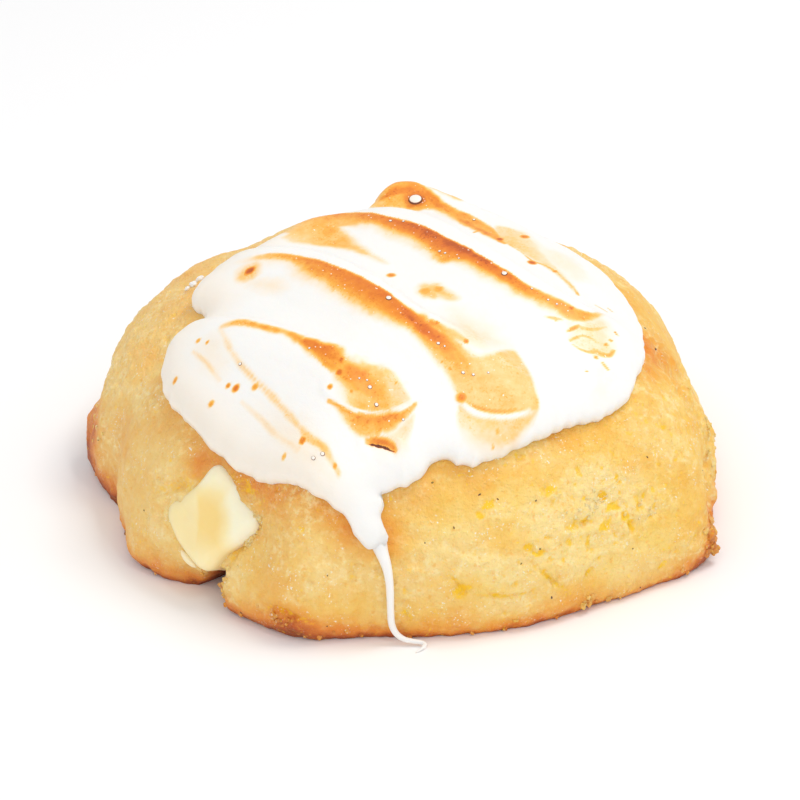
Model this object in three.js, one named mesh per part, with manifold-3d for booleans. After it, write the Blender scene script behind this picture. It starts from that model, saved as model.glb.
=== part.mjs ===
// A thick soft lemon cookie, baked as a domed round of dough with a browned foot, a chunk of white
// chocolate standing out of its side, and a cap of torched meringue spread over the top in four swipes.
// The last of the meringue runs off the front as a thin string that curls on the table.
//
// Millimetres, +Z up, +Y away from the front. The origin is on the table, under the middle of the
// object's footprint. The dough stands on its flat base.

import * as THREE from "three";
import { RoundedBoxGeometry } from "three/addons/geometries/RoundedBoxGeometry.js";
import { mergeVertices } from "three/addons/utils/BufferGeometryUtils.js";
import Module from "manifold-3d";

// ---------------------------------------------------------------- driving dimensions

const COOKIE_AXIS = [2.1, 1.7]; // where the dome's axis meets the table
const COOKIE_RADIUS = 45.7; // mean radius of the baked round
const COOKIE_HEIGHT = 33; // from the table to the top of the dough
const RIM_HEIGHT = 3; // where the dough is widest
const DOME_POWER = 2.4; // 2 is an ellipse, more is a squarer shoulder
const MERINGUE_THICKNESS = 3.2; // between the swipes, measured square to the dough
const CHUNK_SIZE = [11.5, 11.5, 8]; // the block of white chocolate, its depth last
const GAP = 0.3; // left between pieces that lie against each other

const UP = new THREE.Vector3(0, 0, 1);
const DEGREE = Math.PI / 180;
const FULL_TURN = 2 * Math.PI;

// ---------------------------------------------------------------- small shared formulas

/** A bell curve: 1 at zero, falling to about a third at one spread. */
const bell = (distance, spread) => Math.exp(-((distance / spread) ** 2));

/** The shorter way round between two directions, in radians. */
const turnBetween = (a, b) => Math.abs(((a - b + 3 * Math.PI) % FULL_TURN) - Math.PI);

/** The numbers 0 to count - 1, each put through a function. */
const each = (count, make) => Array.from({ length: count }, (_, i) => make(i));

/** A pole joined to a ring, facing up when the ring runs anticlockwise. */
const fan = (pole, ring) => ring.flatMap((point, i) => [pole, point, ring[(i + 1) % ring.length]]);

/** Two rings of equal count joined by a strip, facing away from the axis. */
const strip = (below, above) =>
  below.flatMap((point, i) => {
    const next = (i + 1) % below.length;
    return [point, below[next], above[next], point, above[next], above[i]];
  });

/** Corners of a skin from its bottom pole up through anticlockwise rings, left open at the top. */
function cupOf(bottomPole, rings) {
  const floor = fan(bottomPole, [...rings[0]].reverse());
  const walls = rings.slice(1).flatMap((ring, i) => strip(rings[i], ring));
  return [...floor, ...walls];
}

/** Triangles given corner by corner, as one welded geometry. */
function skinOf(corners) {
  const skin = new THREE.BufferGeometry();
  skin.setAttribute("position", new THREE.Float32BufferAttribute(corners.flatMap((p) => p.toArray()), 3));
  return mergeVertices(skin, 1e-4);
}

// ---------------------------------------------------------------- joining and cutting

const wasm = await Module();
wasm.setup();

/** A closed geometry as a solid that can be joined and cut. */
function solidOf(geometry) {
  const bare = geometry.clone();
  bare.deleteAttribute("normal");
  bare.deleteAttribute("uv");
  const merged = mergeVertices(bare, 1e-4);
  return new wasm.Manifold(
    new wasm.Mesh({
      numProp: 3,
      vertProperties: new Float32Array(merged.attributes.position.array),
      triVerts: new Uint32Array(merged.index.array),
    }),
  );
}

/** The geometry of a solid. */
function geometryOf(solid) {
  const mesh = solid.getMesh();
  const geometry = new THREE.BufferGeometry();
  geometry.setAttribute("position", new THREE.BufferAttribute(mesh.vertProperties, mesh.numProp));
  geometry.setIndex(new THREE.BufferAttribute(mesh.triVerts, 1));
  geometry.computeVertexNormals();
  return geometry;
}

// ---------------------------------------------------------------- the dough

// How the baked outline departs from a circle, by direction.
const RIM_LOBES = [
  { name: "heel at the front", at: -109, reach: 3.6, spread: 9 },
  { name: "front left swell", at: -143, reach: 0.6, spread: 8 },
  { name: "dent at the left", at: -167, reach: -1.7, spread: 6 },
  { name: "left foot", at: 177, reach: 1.3, spread: 9 },
  { name: "flat right side", at: -3, reach: -2.0, spread: 14 },
  { name: "right corner", at: -32, reach: 2.8, spread: 10 },
  { name: "dip before the corner", at: -57, reach: -0.9, spread: 6 },
  { name: "rear dip", at: 112, reach: -0.7, spread: 15 },
];

// Soft swells and hollows of the surface, each centred on a point of it.
const SWELLS = [
  { name: "ledge of the foot", at: [-46, 8, 6], reach: 2.2, spread: 4.5 },
  { name: "undercut left side", at: [-43, -12, 0], reach: -1.5, spread: 7 },
  { name: "rear left shoulder", at: [-38, 18, 20], reach: 2.4, spread: 13 },
  { name: "lump on the shoulder", at: [-28, 22.5, 25.5], reach: 1.5, spread: 5 },
  { name: "hollow over the ledge", at: [-44, 7, 13.5], reach: -1.8, spread: 4 },
  { name: "lump behind the meringue", at: [-15, 26, 29], reach: 2.2, spread: 6 },
  { name: "slack of the rear right", at: [43, 11, 15], reach: -3.1, spread: 11 },
  { name: "slack of the right side", at: [45, -16, 9], reach: -1.5, spread: 7 },
  { name: "hollow beside the chunk", at: [-20, -37, 13], reach: -1.6, spread: 5 },
];

// The crack that runs from the chunk down to the table.
const CRACK = { at: -128, width: 4.6, depth: 5, height: 4.2 };

/** The radius of the baked outline in one direction. */
function rimRadius(turn) {
  return RIM_LOBES.reduce((radius, { at, reach, spread }) => {
    return radius + reach * bell(turnBetween(turn, at * DEGREE), spread * DEGREE);
  }, COOKIE_RADIUS);
}

/** A point moved out or in by every swell near it, away from the middle of the dough. */
function swollen(point) {
  const core = new THREE.Vector3(COOKIE_AXIS[0], COOKIE_AXIS[1], RIM_HEIGHT);
  const outward = point.clone().sub(core).normalize();
  const move = SWELLS.reduce((sum, { at, reach, spread }) => {
    return sum + reach * bell(point.distanceTo(new THREE.Vector3(...at)), spread);
  }, 0);
  return point.clone().addScaledVector(outward, move);
}

/** The dome at one direction and a share of the rim's radius: a superellipse from the rim to the top. */
function domePoint(turn, share, lift = 0) {
  const radius = rimRadius(turn);
  const rise = COOKIE_HEIGHT - RIM_HEIGHT;
  const climb = (1 - Math.min(share, 1) ** DOME_POWER) ** (1 / DOME_POWER);
  const point = new THREE.Vector3(
    COOKIE_AXIS[0] + share * radius * Math.cos(turn),
    COOKIE_AXIS[1] + share * radius * Math.sin(turn),
    RIM_HEIGHT + rise * climb,
  );
  const steep = share ** (DOME_POWER - 1) / radius;
  const flat = climb ** (DOME_POWER - 1) / rise;
  const outward = new THREE.Vector3(steep * Math.cos(turn), steep * Math.sin(turn), flat).normalize();
  return swollen(point).addScaledVector(outward, lift);
}

/** The dome over a point of the plan, lifted square to the surface. */
function domeOver(x, y, lift = 0) {
  const turn = Math.atan2(y - COOKIE_AXIS[1], x - COOKIE_AXIS[0]);
  const reach = Math.hypot(x - COOKIE_AXIS[0], y - COOKIE_AXIS[1]);
  return domePoint(turn, reach / rimRadius(turn), lift);
}

/** The skin of the dough. Lifted by a clearance, it cuts whatever is spread over it. */
function makeDough(clearance = 0) {
  const columns = 84;
  const turns = each(columns, (i) => (i / columns) * FULL_TURN - Math.PI);
  const base = [
    { share: 0.5, z: 0 },
    { share: 0.972, z: 0 },
    { share: 0.994, z: RIM_HEIGHT / 3 },
  ];
  const foot = base.map(({ share, z }) =>
    turns.map((turn) => {
      const radius = share * rimRadius(turn) + clearance;
      const point = new THREE.Vector3(
        COOKIE_AXIS[0] + radius * Math.cos(turn),
        COOKIE_AXIS[1] + radius * Math.sin(turn),
        z,
      );
      return z > 0 ? swollen(point) : point;
    }),
  );
  const rows = 13;
  const shares = each(rows, (i) => Math.cos((i / rows) * (Math.PI / 2)) ** (2 / DOME_POWER));
  const dome = shares.map((share) => turns.map((turn) => domePoint(turn, share, clearance)));
  const cup = cupOf(new THREE.Vector3(...COOKIE_AXIS, 0), [...foot, ...dome]);
  return skinOf([...cup, ...fan(domePoint(0, 0, clearance), dome.at(-1))]);
}

/** The open crack at the foot: a wedge, widest at the rim, that points at the dome's axis. */
function makeCrack() {
  const { at, width, depth, height } = CRACK;
  const outside = width * 1.2;
  const wedge = new THREE.Shape([
    new THREE.Vector2(-depth, 0),
    new THREE.Vector2(outside, -width * 0.6),
    new THREE.Vector2(outside, width * 0.6),
  ]);
  const solid = new THREE.ExtrudeGeometry(wedge, { depth: height + 1, bevelEnabled: false });
  solid.translate(rimRadius(at * DEGREE), 0, -1);
  solid.rotateZ(at * DEGREE);
  return solid.translate(...COOKIE_AXIS, 0);
}

// ---------------------------------------------------------------- the chunk of white chocolate

const CHUNK = { at: [-25.4, -32.4, 12.6], facing: [-0.52, -0.75, 0.41], roll: 53, corner: 1.9, proud: 1.5 };

/** The block stands on one corner and faces out of the side. Grown by a clearance, it cuts its pocket. */
function makeChunk(clearance = 0) {
  const [width, height, depth] = CHUNK_SIZE.map((size) => size + 2 * clearance);
  const block = new RoundedBoxGeometry(width, height, depth, 3, CHUNK.corner + clearance);
  const facing = new THREE.Vector3(...CHUNK.facing).normalize();
  const place = new THREE.Matrix4().lookAt(facing, new THREE.Vector3(), UP);
  place.multiply(new THREE.Matrix4().makeRotationZ(CHUNK.roll * DEGREE));
  const centre = new THREE.Vector3(...CHUNK.at).addScaledVector(facing, CHUNK.proud - CHUNK_SIZE[2] / 2);
  block.applyMatrix4(place.setPosition(centre));
  return block;
}

// ---------------------------------------------------------------- the meringue

const MERINGUE_MIDDLE = [0, -5]; // the outline is drawn round this point of the plan
const RIM_WIDTH = 4.2; // how far in from the edge the meringue reaches its full thickness
const RIM_TUCK = 0.9; // how far the rounded edge overhangs its contact line
const RIM_BULGE = 1.3; // height of the widest point of the edge above the dough

// The meringue's edge on the plan, anticlockwise from the right: each swipe ends in a lobe.
const MERINGUE_EDGE = [
  [33.6, -9.7],
  [32.2, 0],
  [28, 8],
  [21.1, 14.9],
  [14.3, 20.7],
  [7, 25.7],
  [1.6, 28.6],
  [-2.2, 26.4],
  [-4.4, 21],
  [-10, 18],
  [-15.4, 12.2],
  [-20.6, 10],
  [-26.1, 6.5],
  [-28.8, 1],
  [-26.8, -4.6],
  [-31, -8.5],
  [-32.2, -13.5],
  [-30.2, -20.4],
  [-24.4, -28.8],
  [-19.4, -33.8],
  [-14.4, -37.9],
  [-11.2, -40],
  [-7.8, -41.1],
  [-4.4, -40.8],
  [-2.2, -38.6],
  [0.6, -37.8],
  [4.7, -35.7],
  [11.8, -35.2],
  [17.3, -32.1],
  [22.4, -27.9],
  [27.2, -25.4],
  [31.6, -19.9],
];

// The swipes of the spoon, front to back. Each leaves a crest that falls gently to the front left and
// steeply to the rear right: points of its line on the plan, from its rear left end to its front right
// end, each with the crest's height there last.
const SWIPES = [
  [
    [-27, -9.5, 1.4],
    [-20, -14.2, 2],
    [-12.4, -20.1, 2.2],
    [-6, -24.8, 1.8],
    [0.2, -28.6, 1.2],
    [2, -34, 0.4],
  ],
  [
    [-25, 7, 0.6],
    [-19, 4.5, 1.5],
    [-11, -0.5, 2.3],
    [-4.5, -8.2, 2.6],
    [1.7, -15.9, 2.2],
    [9, -20.5, 1.4],
    [17, -26, 0.5],
  ],
  [
    [-14.5, 15, 0.6],
    [-8, 15.5, 1.4],
    [-1, 13.5, 2.3],
    [5.7, 7.6, 2.6],
    [13.4, -2.4, 2.5],
    [21, -9.5, 1.9],
    [28.3, -12, 0.8],
  ],
  [
    [-1, 24, 2.8],
    [2.5, 24.5, 3.4],
    [7, 22.5, 2.2],
    [13, 17.5, 0.9],
    [19.5, 10, 0.4],
    [25.5, -1, 0.2],
  ],
];
const CREST_NEAR = 6.5; // width of a crest's gentle front slope
const CREST_FAR = 3; // width of its steep rear slope

/** Each crest as a dense line of points, with the way ahead and the height at each. */
const crestLines = SWIPES.map((swipe) => {
  const curve = new THREE.CatmullRomCurve3(swipe.map(([x, y]) => new THREE.Vector3(x, y, 0)));
  const steps = 48;
  return each(steps + 1, (i) => {
    const slot = (i / steps) * (swipe.length - 1);
    const before = Math.min(Math.floor(slot), swipe.length - 2);
    const height = THREE.MathUtils.lerp(swipe[before][2], swipe[before + 1][2], slot - before);
    return { point: curve.getPoint(i / steps), ahead: curve.getTangent(i / steps), height };
  });
});

/** The height that the swipes add over a point of the plan: each the bell of the distance to its crest. */
function swipeHeight(x, y) {
  const here = new THREE.Vector3(x, y, 0);
  return crestLines.reduce((sum, line) => {
    const ways = line.map(({ point }) => here.distanceTo(point));
    const { point, ahead, height } = line[ways.indexOf(Math.min(...ways))];
    const away = here.clone().sub(point);
    // -1 on the gentle side of the crest, 1 on the steep side, 0 off its ends.
    const side = away.length() > 0 ? ahead.clone().cross(away).z / away.length() : 0;
    const width = THREE.MathUtils.lerp(CREST_NEAR, CREST_FAR, THREE.MathUtils.smoothstep(side, -1, 1));
    return sum + height * bell(away.length(), width);
  }, 0);
}

/** The edge as radii round the meringue's middle: the reach of the closed curve in each direction. */
const edgeReach = (() => {
  const curve = new THREE.CatmullRomCurve3(
    MERINGUE_EDGE.map(([x, y]) => new THREE.Vector3(x - MERINGUE_MIDDLE[0], y - MERINGUE_MIDDLE[1], 0)),
    true,
  );
  const points = curve.getPoints(1440).slice(0, -1);
  return (turn) => {
    const nearest = points.reduce((best, point) => {
      const off = turnBetween(Math.atan2(point.y, point.x), turn);
      return off < best.off ? { off, point } : best;
    }, { off: Infinity });
    return nearest.point.length();
  };
})();

// The cap's top is a square net of this many cells a side, drawn out into a disc.
const NET_CELLS = 30;

/** The net's node in column i and row j, as a direction and a share of the disc's radius. */
function netNode(i, j) {
  const across = (2 * i) / NET_CELLS - 1;
  const up = (2 * j) / NET_CELLS - 1;
  const isFlank = Math.abs(across) >= Math.abs(up);
  const share = isFlank ? across : up;
  const turn = isFlank ? (Math.PI / 4) * (up / (across || 1)) : Math.PI / 2 - (Math.PI / 4) * (across / up);
  return { turn: Math.atan2(share * Math.sin(turn), share * Math.cos(turn)), share: Math.abs(share) };
}

/** The net's outermost nodes, anticlockwise from its first corner. */
const NET_BORDER = [
  ...each(NET_CELLS, (i) => [i, 0]),
  ...each(NET_CELLS, (i) => [NET_CELLS, i]),
  ...each(NET_CELLS, (i) => [NET_CELLS - i, NET_CELLS]),
  ...each(NET_CELLS, (i) => [0, NET_CELLS - i]),
];

function makeMeringueCap() {
  const fullThickness = (x, y) => MERINGUE_THICKNESS + swipeHeight(x, y);
  const place = (turn, reach, liftAt) => {
    const x = MERINGUE_MIDDLE[0] + reach * Math.cos(turn);
    const y = MERINGUE_MIDDLE[1] + reach * Math.sin(turn);
    return domeOver(x, y, liftAt(x, y));
  };
  const turns = NET_BORDER.map(([i, j]) => netNode(i, j).turn);
  const reaches = turns.map(edgeReach);
  const ring = (inset, liftAt) => turns.map((turn, i) => place(turn, inset(reaches[i]), liftAt));
  // The underside runs a little way inside the dough, which is cut away from it afterwards.
  const contact = ring((reach) => reach - 1.5 * RIM_TUCK, () => -1);
  const widest = ring((reach) => reach, () => RIM_BULGE);
  // From the widest point the edge rounds over as a quarter of an ellipse.
  const shoulders = [22, 48, 72].map((angle) =>
    ring(
      (reach) => reach - RIM_WIDTH * (1 - Math.cos(angle * DEGREE)),
      (x, y) => RIM_BULGE + (fullThickness(x, y) - RIM_BULGE) * Math.sin(angle * DEGREE),
    ),
  );
  const net = each(NET_CELLS + 1, (i) =>
    each(NET_CELLS + 1, (j) => {
      const { turn, share } = netNode(i, j);
      return place(turn, share * (edgeReach(turn) - RIM_WIDTH), fullThickness);
    }),
  );
  const top = each(NET_CELLS, (i) => each(NET_CELLS, (j) => [i, j])).flat().flatMap(([i, j]) => {
    const [here, right, across, left] = [net[i][j], net[i + 1][j], net[i + 1][j + 1], net[i][j + 1]];
    return [here, right, left, right, across, left];
  });
  const border = NET_BORDER.map(([i, j]) => net[i][j]);
  const inside = place(0, 0, () => -12);
  return skinOf([...cupOf(inside, [contact, widest, ...shoulders, border]), ...top]);
}

// A tongue of meringue slips off the front of the cap and thins to a string, which hangs down the side
// and curls on the table. On the side: direction, share of the rim's radius, height over the dough and
// radius of the tongue or string.
const TONGUE = [
  { at: -102, share: 0.87, over: -0.6, radius: 2.7 },
  { at: -98.8, share: 0.928, over: -0.6, radius: 2.6 },
  { at: -97, share: 0.957, over: -0.5, radius: 2.3 },
  { at: -95.6, share: 0.971, over: 0.8, radius: 1 },
  { at: -94.6, share: 0.989, over: 0.9, radius: 0.6 },
  { at: -94.2, share: 0.998, over: 0.9, radius: 0.5 },
];
// On the table: points of its middle line, with the radius last.
const STRING_TAIL = [
  [-1.1, -45.2, 1.9, 0.48],
  [-0.7, -45.3, 0.8, 0.45],
  [0.5, -45.8, 0.5, 0.38],
  [1.8, -45.9, 0.45, 0.34],
  [2.8, -46, 0.42, 0.32],
  [3, -46.9, 0.4, 0.3],
  [2.4, -47.5, 0.36, 0.26],
];

/** A closed tube along a smooth line, round in section, its radius passing through the given values. */
function taperedTube(points, radii) {
  const curve = new THREE.CatmullRomCurve3(points);
  const sides = 8;
  const steps = 40;
  const rings = each(steps + 1, (i) => {
    const along = i / steps;
    const slot = along * (radii.length - 1);
    const before = Math.min(Math.floor(slot), radii.length - 2);
    const radius = THREE.MathUtils.lerp(radii[before], radii[before + 1], slot - before);
    const centre = curve.getPoint(along);
    const ahead = curve.getTangent(along);
    const across = new THREE.Vector3(0.3, -1, 0.9).cross(ahead).normalize();
    const square = ahead.clone().cross(across);
    return each(sides, (side) => {
      const turn = (side / sides) * FULL_TURN;
      const spoke = across.clone().multiplyScalar(Math.cos(turn)).addScaledVector(square, Math.sin(turn));
      return centre.clone().addScaledVector(spoke, radius);
    });
  });
  const end = fan(curve.getPoint(1), rings.at(-1));
  return skinOf([...cupOf(curve.getPoint(0), rings), ...end]);
}

function makeTongueAndString() {
  const hanging = TONGUE.map(({ at, share, over }) => domePoint(at * DEGREE, share, over));
  const lying = STRING_TAIL.map(([x, y, z]) => new THREE.Vector3(x, y, z));
  const radii = [...TONGUE.map(({ radius }) => radius), ...STRING_TAIL.map(([, , , radius]) => radius)];
  return taperedTube([...hanging, ...lying], radii);
}

// ---------------------------------------------------------------- the whole

const finishes = {
  cookie: new THREE.MeshStandardMaterial({ color: "#f2d08a", roughness: 0.6, metalness: 0 }),
  meringue: new THREE.MeshStandardMaterial({ color: "#fbf8f2", roughness: 0.4, metalness: 0 }),
  chunk: new THREE.MeshStandardMaterial({ color: "#fae6b4", roughness: 0.4, metalness: 0 }),
};

const dough = solidOf(makeDough()).subtract(solidOf(makeChunk(GAP))).subtract(solidOf(makeCrack()));
const spread = solidOf(makeMeringueCap()).add(solidOf(makeTongueAndString()));
const pieces = [
  { name: "cookie", geometry: geometryOf(dough) },
  { name: "meringue", geometry: geometryOf(spread.subtract(solidOf(makeDough(GAP)))) },
  { name: "chunk", geometry: makeChunk() },
];

// The footprint's middle comes to the origin.
const reach = new THREE.Box3();
for (const { geometry } of pieces) {
  geometry.computeBoundingBox();
  reach.union(geometry.boundingBox);
}
const middle = reach.getCenter(new THREE.Vector3());

const cookie = new THREE.Group();
for (const { name, geometry } of pieces) {
  geometry.translate(-middle.x, -middle.y, 0);
  const mesh = new THREE.Mesh(geometry, finishes[name]);
  mesh.name = name;
  cookie.add(mesh);
}

export default cookie;
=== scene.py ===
import bpy
import numpy as np
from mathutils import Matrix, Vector


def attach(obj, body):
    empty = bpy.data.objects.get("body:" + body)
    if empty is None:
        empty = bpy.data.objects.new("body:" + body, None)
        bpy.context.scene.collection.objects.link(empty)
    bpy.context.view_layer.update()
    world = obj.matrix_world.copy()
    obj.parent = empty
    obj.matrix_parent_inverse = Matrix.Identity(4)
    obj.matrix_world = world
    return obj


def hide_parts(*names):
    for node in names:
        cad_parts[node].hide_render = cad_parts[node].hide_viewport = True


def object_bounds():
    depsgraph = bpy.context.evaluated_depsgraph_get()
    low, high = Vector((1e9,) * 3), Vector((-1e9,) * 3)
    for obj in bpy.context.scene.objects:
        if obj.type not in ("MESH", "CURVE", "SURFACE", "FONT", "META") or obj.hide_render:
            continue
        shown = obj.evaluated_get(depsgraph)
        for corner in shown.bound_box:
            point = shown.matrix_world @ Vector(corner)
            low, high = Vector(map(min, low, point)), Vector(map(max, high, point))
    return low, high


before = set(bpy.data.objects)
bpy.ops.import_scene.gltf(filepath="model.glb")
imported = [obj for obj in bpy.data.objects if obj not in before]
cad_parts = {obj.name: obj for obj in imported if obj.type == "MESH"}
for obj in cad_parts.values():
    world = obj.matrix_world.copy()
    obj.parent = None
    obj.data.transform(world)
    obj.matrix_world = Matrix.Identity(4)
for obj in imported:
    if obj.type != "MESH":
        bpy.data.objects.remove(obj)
solids_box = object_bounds()

# ---------------------------------------------------------------- table, light and camera
# The cookie stands on a plain near-white table in a bright studio. A broad soft lamp hangs over the
# right rear, so the soft shadow falls to the front left, and white all round fills the rest.

MM = 0.001
# Every point and size from the camera on is in mm on one plan. This carries the plan to the middle of the
# solids' footprint.
TO_FOOTPRINT = np.array([0.121, 0.183, 0.0])


def colour(red, green, blue, alpha=1.0):
    """A screen colour of 0 to 255 a channel, as the linear numbers that sockets take."""
    screen = np.array([red, green, blue]) / 255
    linear = np.where(screen <= 0.04045, screen / 12.92, ((screen + 0.055) / 1.055) ** 2.4)
    return (*linear, alpha)


def set_inputs(node, inputs):
    """Values for a node's inputs, each under the name or number of its socket."""
    for name, value in inputs.items():
        node.inputs[name].default_value = value


def shader_node(tree, kind, inputs=(), **settings):
    """A new node in a tree, with its settings and the values of its inputs."""
    node = tree.nodes.new(kind)
    for name, value in settings.items():
        setattr(node, name, value)
    set_inputs(node, dict(inputs))
    return node


def finish_of(name):
    """A new material with its tree, its Principled shader and its object coordinates."""
    material = bpy.data.materials.new(name)
    material.use_nodes = True
    tree = material.node_tree
    place = shader_node(tree, "ShaderNodeTexCoord").outputs["Object"]
    return material, tree, tree.nodes["Principled BSDF"], place


# Half the table's side, in metres.
TABLE_HALF = 2.5

table_mesh = bpy.data.meshes.new("table")
table_mesh.from_pydata(
    [(x * TABLE_HALF, y * TABLE_HALF, 0) for x, y in ((-1, -1), (1, -1), (1, 1), (-1, 1))], [], [(0, 1, 2, 3)]
)
table = bpy.data.objects.new("table", table_mesh)
bpy.context.scene.collection.objects.link(table)
table_paint, tree, shader, place = finish_of("table_paint")
set_inputs(shader, {"Base Color": (0.95, 0.954, 0.965, 1), "Roughness": 0.7, "Specular IOR Level": 0.2})
table_mesh.materials.append(table_paint)

world = bpy.data.worlds.new("studio")
bpy.context.scene.world = world
world.use_nodes = True
set_inputs(world.node_tree.nodes["Background"], {"Color": (1, 0.995, 0.99, 1), "Strength": 0.74})


def softbox(name, place, aim, size, power, tint=(1, 1, 1)):
    """A square lamp of that size at a place in metres, turned to face the point it is aimed at."""
    lamp = bpy.data.lights.new(name, "AREA")
    lamp.size = size
    lamp.energy = power
    lamp.color = tint
    stand = bpy.data.objects.new(name, lamp)
    stand.location = place
    direction = Vector(aim) - Vector(place)
    stand.rotation_euler = direction.to_track_quat("-Z", "Y").to_euler()
    bpy.context.scene.collection.objects.link(stand)


softbox("key_lamp", (0.26, 0.06, 0.64), aim=(0, 0, 0.015), size=0.26, power=1.5, tint=(1, 0.985, 0.96))
softbox("front_lamp", (-0.12, -0.6, 0.45), aim=(0, 0, 0.01), size=0.5, power=0.8)
# A small lamp gives the fat in the dough its glints.
softbox("glint_lamp", (0.22, -0.34, 0.62), aim=(0, 0, 0.01), size=0.06, power=0.3)

# How steeply the camera looks down, how far off it stands, and the point that it looks at.
CAMERA_RISE = np.radians(27)
CAMERA_DISTANCE = 520
CAMERA_AIM = np.array([0, 0, 14.0])
SENSOR_WIDTH = 36
# The lens's focal length in widths of the sensor.
FOCAL_WIDTHS = 4.5175

lens = bpy.data.cameras.new("camera")
lens.sensor_width = SENSOR_WIDTH
lens.lens = SENSOR_WIDTH * FOCAL_WIDTHS
lens.clip_start = 0.01
camera = bpy.data.objects.new("camera", lens)
toward_camera = np.array([0, -np.cos(CAMERA_RISE), np.sin(CAMERA_RISE)])
camera.location = (CAMERA_AIM + CAMERA_DISTANCE * toward_camera + TO_FOOTPRINT) * MM
camera.rotation_euler = (np.pi / 2 - CAMERA_RISE, 0, 0)
bpy.context.scene.collection.objects.link(camera)
bpy.context.scene.camera = camera
bpy.context.scene.view_settings.view_transform = "Standard"

# ---------------------------------------------------------------- the baked dough
# A thick round of soft lemon dough, baked until its foot browned. It is one closed skin: a dome that
# isn't round in plan, with lumps and hollows, wrinkles, pores, cracks and a torn right side.

DOME_AXIS = np.array([2.1, 1.7])
DOUGH_RADIUS = 45.7
DOUGH_HEIGHT = 33
RIM_HEIGHT = 3
DOME_POWER = 2.4
# How the outline departs from a circle: direction in degrees, reach in mm, spread in degrees.
RIM_LOBES = (
    (-109, 3.6, 9),
    (-143, 0.6, 8),
    (-167, -1.7, 6),
    (177, 1.3, 9),
    (-3, -2.0, 14),
    (-32, 2.8, 10),
    (-57, -0.9, 6),
    (112, -0.7, 15),
)
# Soft swells and hollows of the side: where, how far out, and how wide.
SWELLS = (
    ((-46, 8, 6), 2.2, 4.5),
    ((-43, -12, 0), -1.5, 7),
    ((-38, 18, 20), 2.4, 13),
    ((-28, 22.5, 25.5), 1.5, 5),
    ((-44, 7, 13.5), -1.8, 4),
    ((-15, 26, 29), 2.2, 6),
    ((43, 11, 15), -3.1, 11),
    ((45, -16, 9), -1.5, 7),
    ((-20, -37, 13), -1.6, 5),
)


def bell(distance, spread):
    """1 at zero, falling to about a third at one spread."""
    return np.exp(-((distance / spread) ** 2))


def ease(value, low, high):
    """0 below low, 1 above high, and a smooth step between."""
    share = np.clip((value - low) / (high - low), 0, 1)
    return share * share * (3 - 2 * share)


def close_to(points, middle, spread):
    """1 at a middle, falling to about a third one spread away from it."""
    return bell(np.linalg.norm(points - np.array(middle), axis=-1), spread)


def turn_between(a, b):
    """The shorter way round between two directions, in radians."""
    return np.abs((a - b + 3 * np.pi) % (2 * np.pi) - np.pi)


def plan_way(turn):
    """The way of a direction on the plan: its cosine and its sine."""
    return np.stack([np.cos(turn), np.sin(turn)], -1)


def levelled(plan):
    """Points of the plan, at height 0."""
    return np.append(plan, np.zeros((*plan.shape[:-1], 1)), -1)


def rim_radius(turn):
    """The outline's radius in each direction: a circle plus a bell for each lobe."""
    radius = np.full(np.shape(turn), float(DOUGH_RADIUS))
    for at, reach, spread in RIM_LOBES:
        radius = radius + reach * bell(turn_between(turn, np.radians(at)), np.radians(spread))
    return radius


def unit(vectors):
    """The vectors at length 1."""
    return vectors / np.maximum(np.linalg.norm(vectors, axis=-1, keepdims=True), 1e-9)


def swollen(points):
    """Points moved out from the dough's middle by every swell near them."""
    outward = unit(points - np.array([*DOME_AXIS, RIM_HEIGHT]))
    reach = sum(much * close_to(points, middle, spread) for middle, much, spread in SWELLS)
    return points + outward * reach[..., None]


def dome(turn, share):
    """Points of the dome and the way out of it there. The dome is a superellipse from the rim, where the
    share of the radius is 1, to the top, where it is 0; the way out is its gradient."""
    radius = rim_radius(turn)
    rise = DOUGH_HEIGHT - RIM_HEIGHT
    climb = (1 - np.minimum(share, 1) ** DOME_POWER) ** (1 / DOME_POWER)
    way = plan_way(turn)
    plan = DOME_AXIS + (share * radius)[..., None] * way
    points = np.concatenate([plan, (RIM_HEIGHT + rise * climb)[..., None]], -1)
    steep = (share ** (DOME_POWER - 1) / radius)[..., None]
    flat = (climb ** (DOME_POWER - 1) / rise)[..., None]
    return swollen(points), unit(np.concatenate([steep * way, flat], -1))


def dome_over(plan):
    """The dome over points of the plan, and the way out of it there."""
    off = plan - DOME_AXIS
    turn = np.arctan2(off[..., 1], off[..., 0])
    return dome(turn, np.hypot(off[..., 0], off[..., 1]) / rim_radius(turn))


LATTICE = 32
# Each seed starts in another cell of the lattice, and the slopes' heights reach to about 0.6.
CELLS_A_SEED = 17.3
TO_FULL_HEIGHT = 1.6


def unevenness(points, size, seed, stretch=(1, 1, 1)):
    """Smooth random heights, about -1 to 1, that change over the given size. Each corner of a cubic lattice
    holds a random slope, and the slopes' heights are blended across each cell by a smooth step."""
    slopes = unit(np.random.default_rng(seed).normal(size=(LATTICE, LATTICE, LATTICE, 3)))
    spot = points / (size * np.array(stretch)) + CELLS_A_SEED * seed
    cell = np.floor(spot).astype(int)
    inside = spot - cell
    blend = inside**3 * (inside * (inside * 6 - 15) + 10)
    height = np.zeros(points.shape[:-1])
    for corner in np.ndindex(2, 2, 2):
        corner = np.array(corner)
        weight = np.prod(np.where(corner, blend, 1 - blend), -1)
        slope = slopes[tuple(np.moveaxis((cell + corner) % LATTICE, -1, 0))]
        height += weight * np.sum(slope * (inside - corner), -1)
    return TO_FULL_HEIGHT * height


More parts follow.
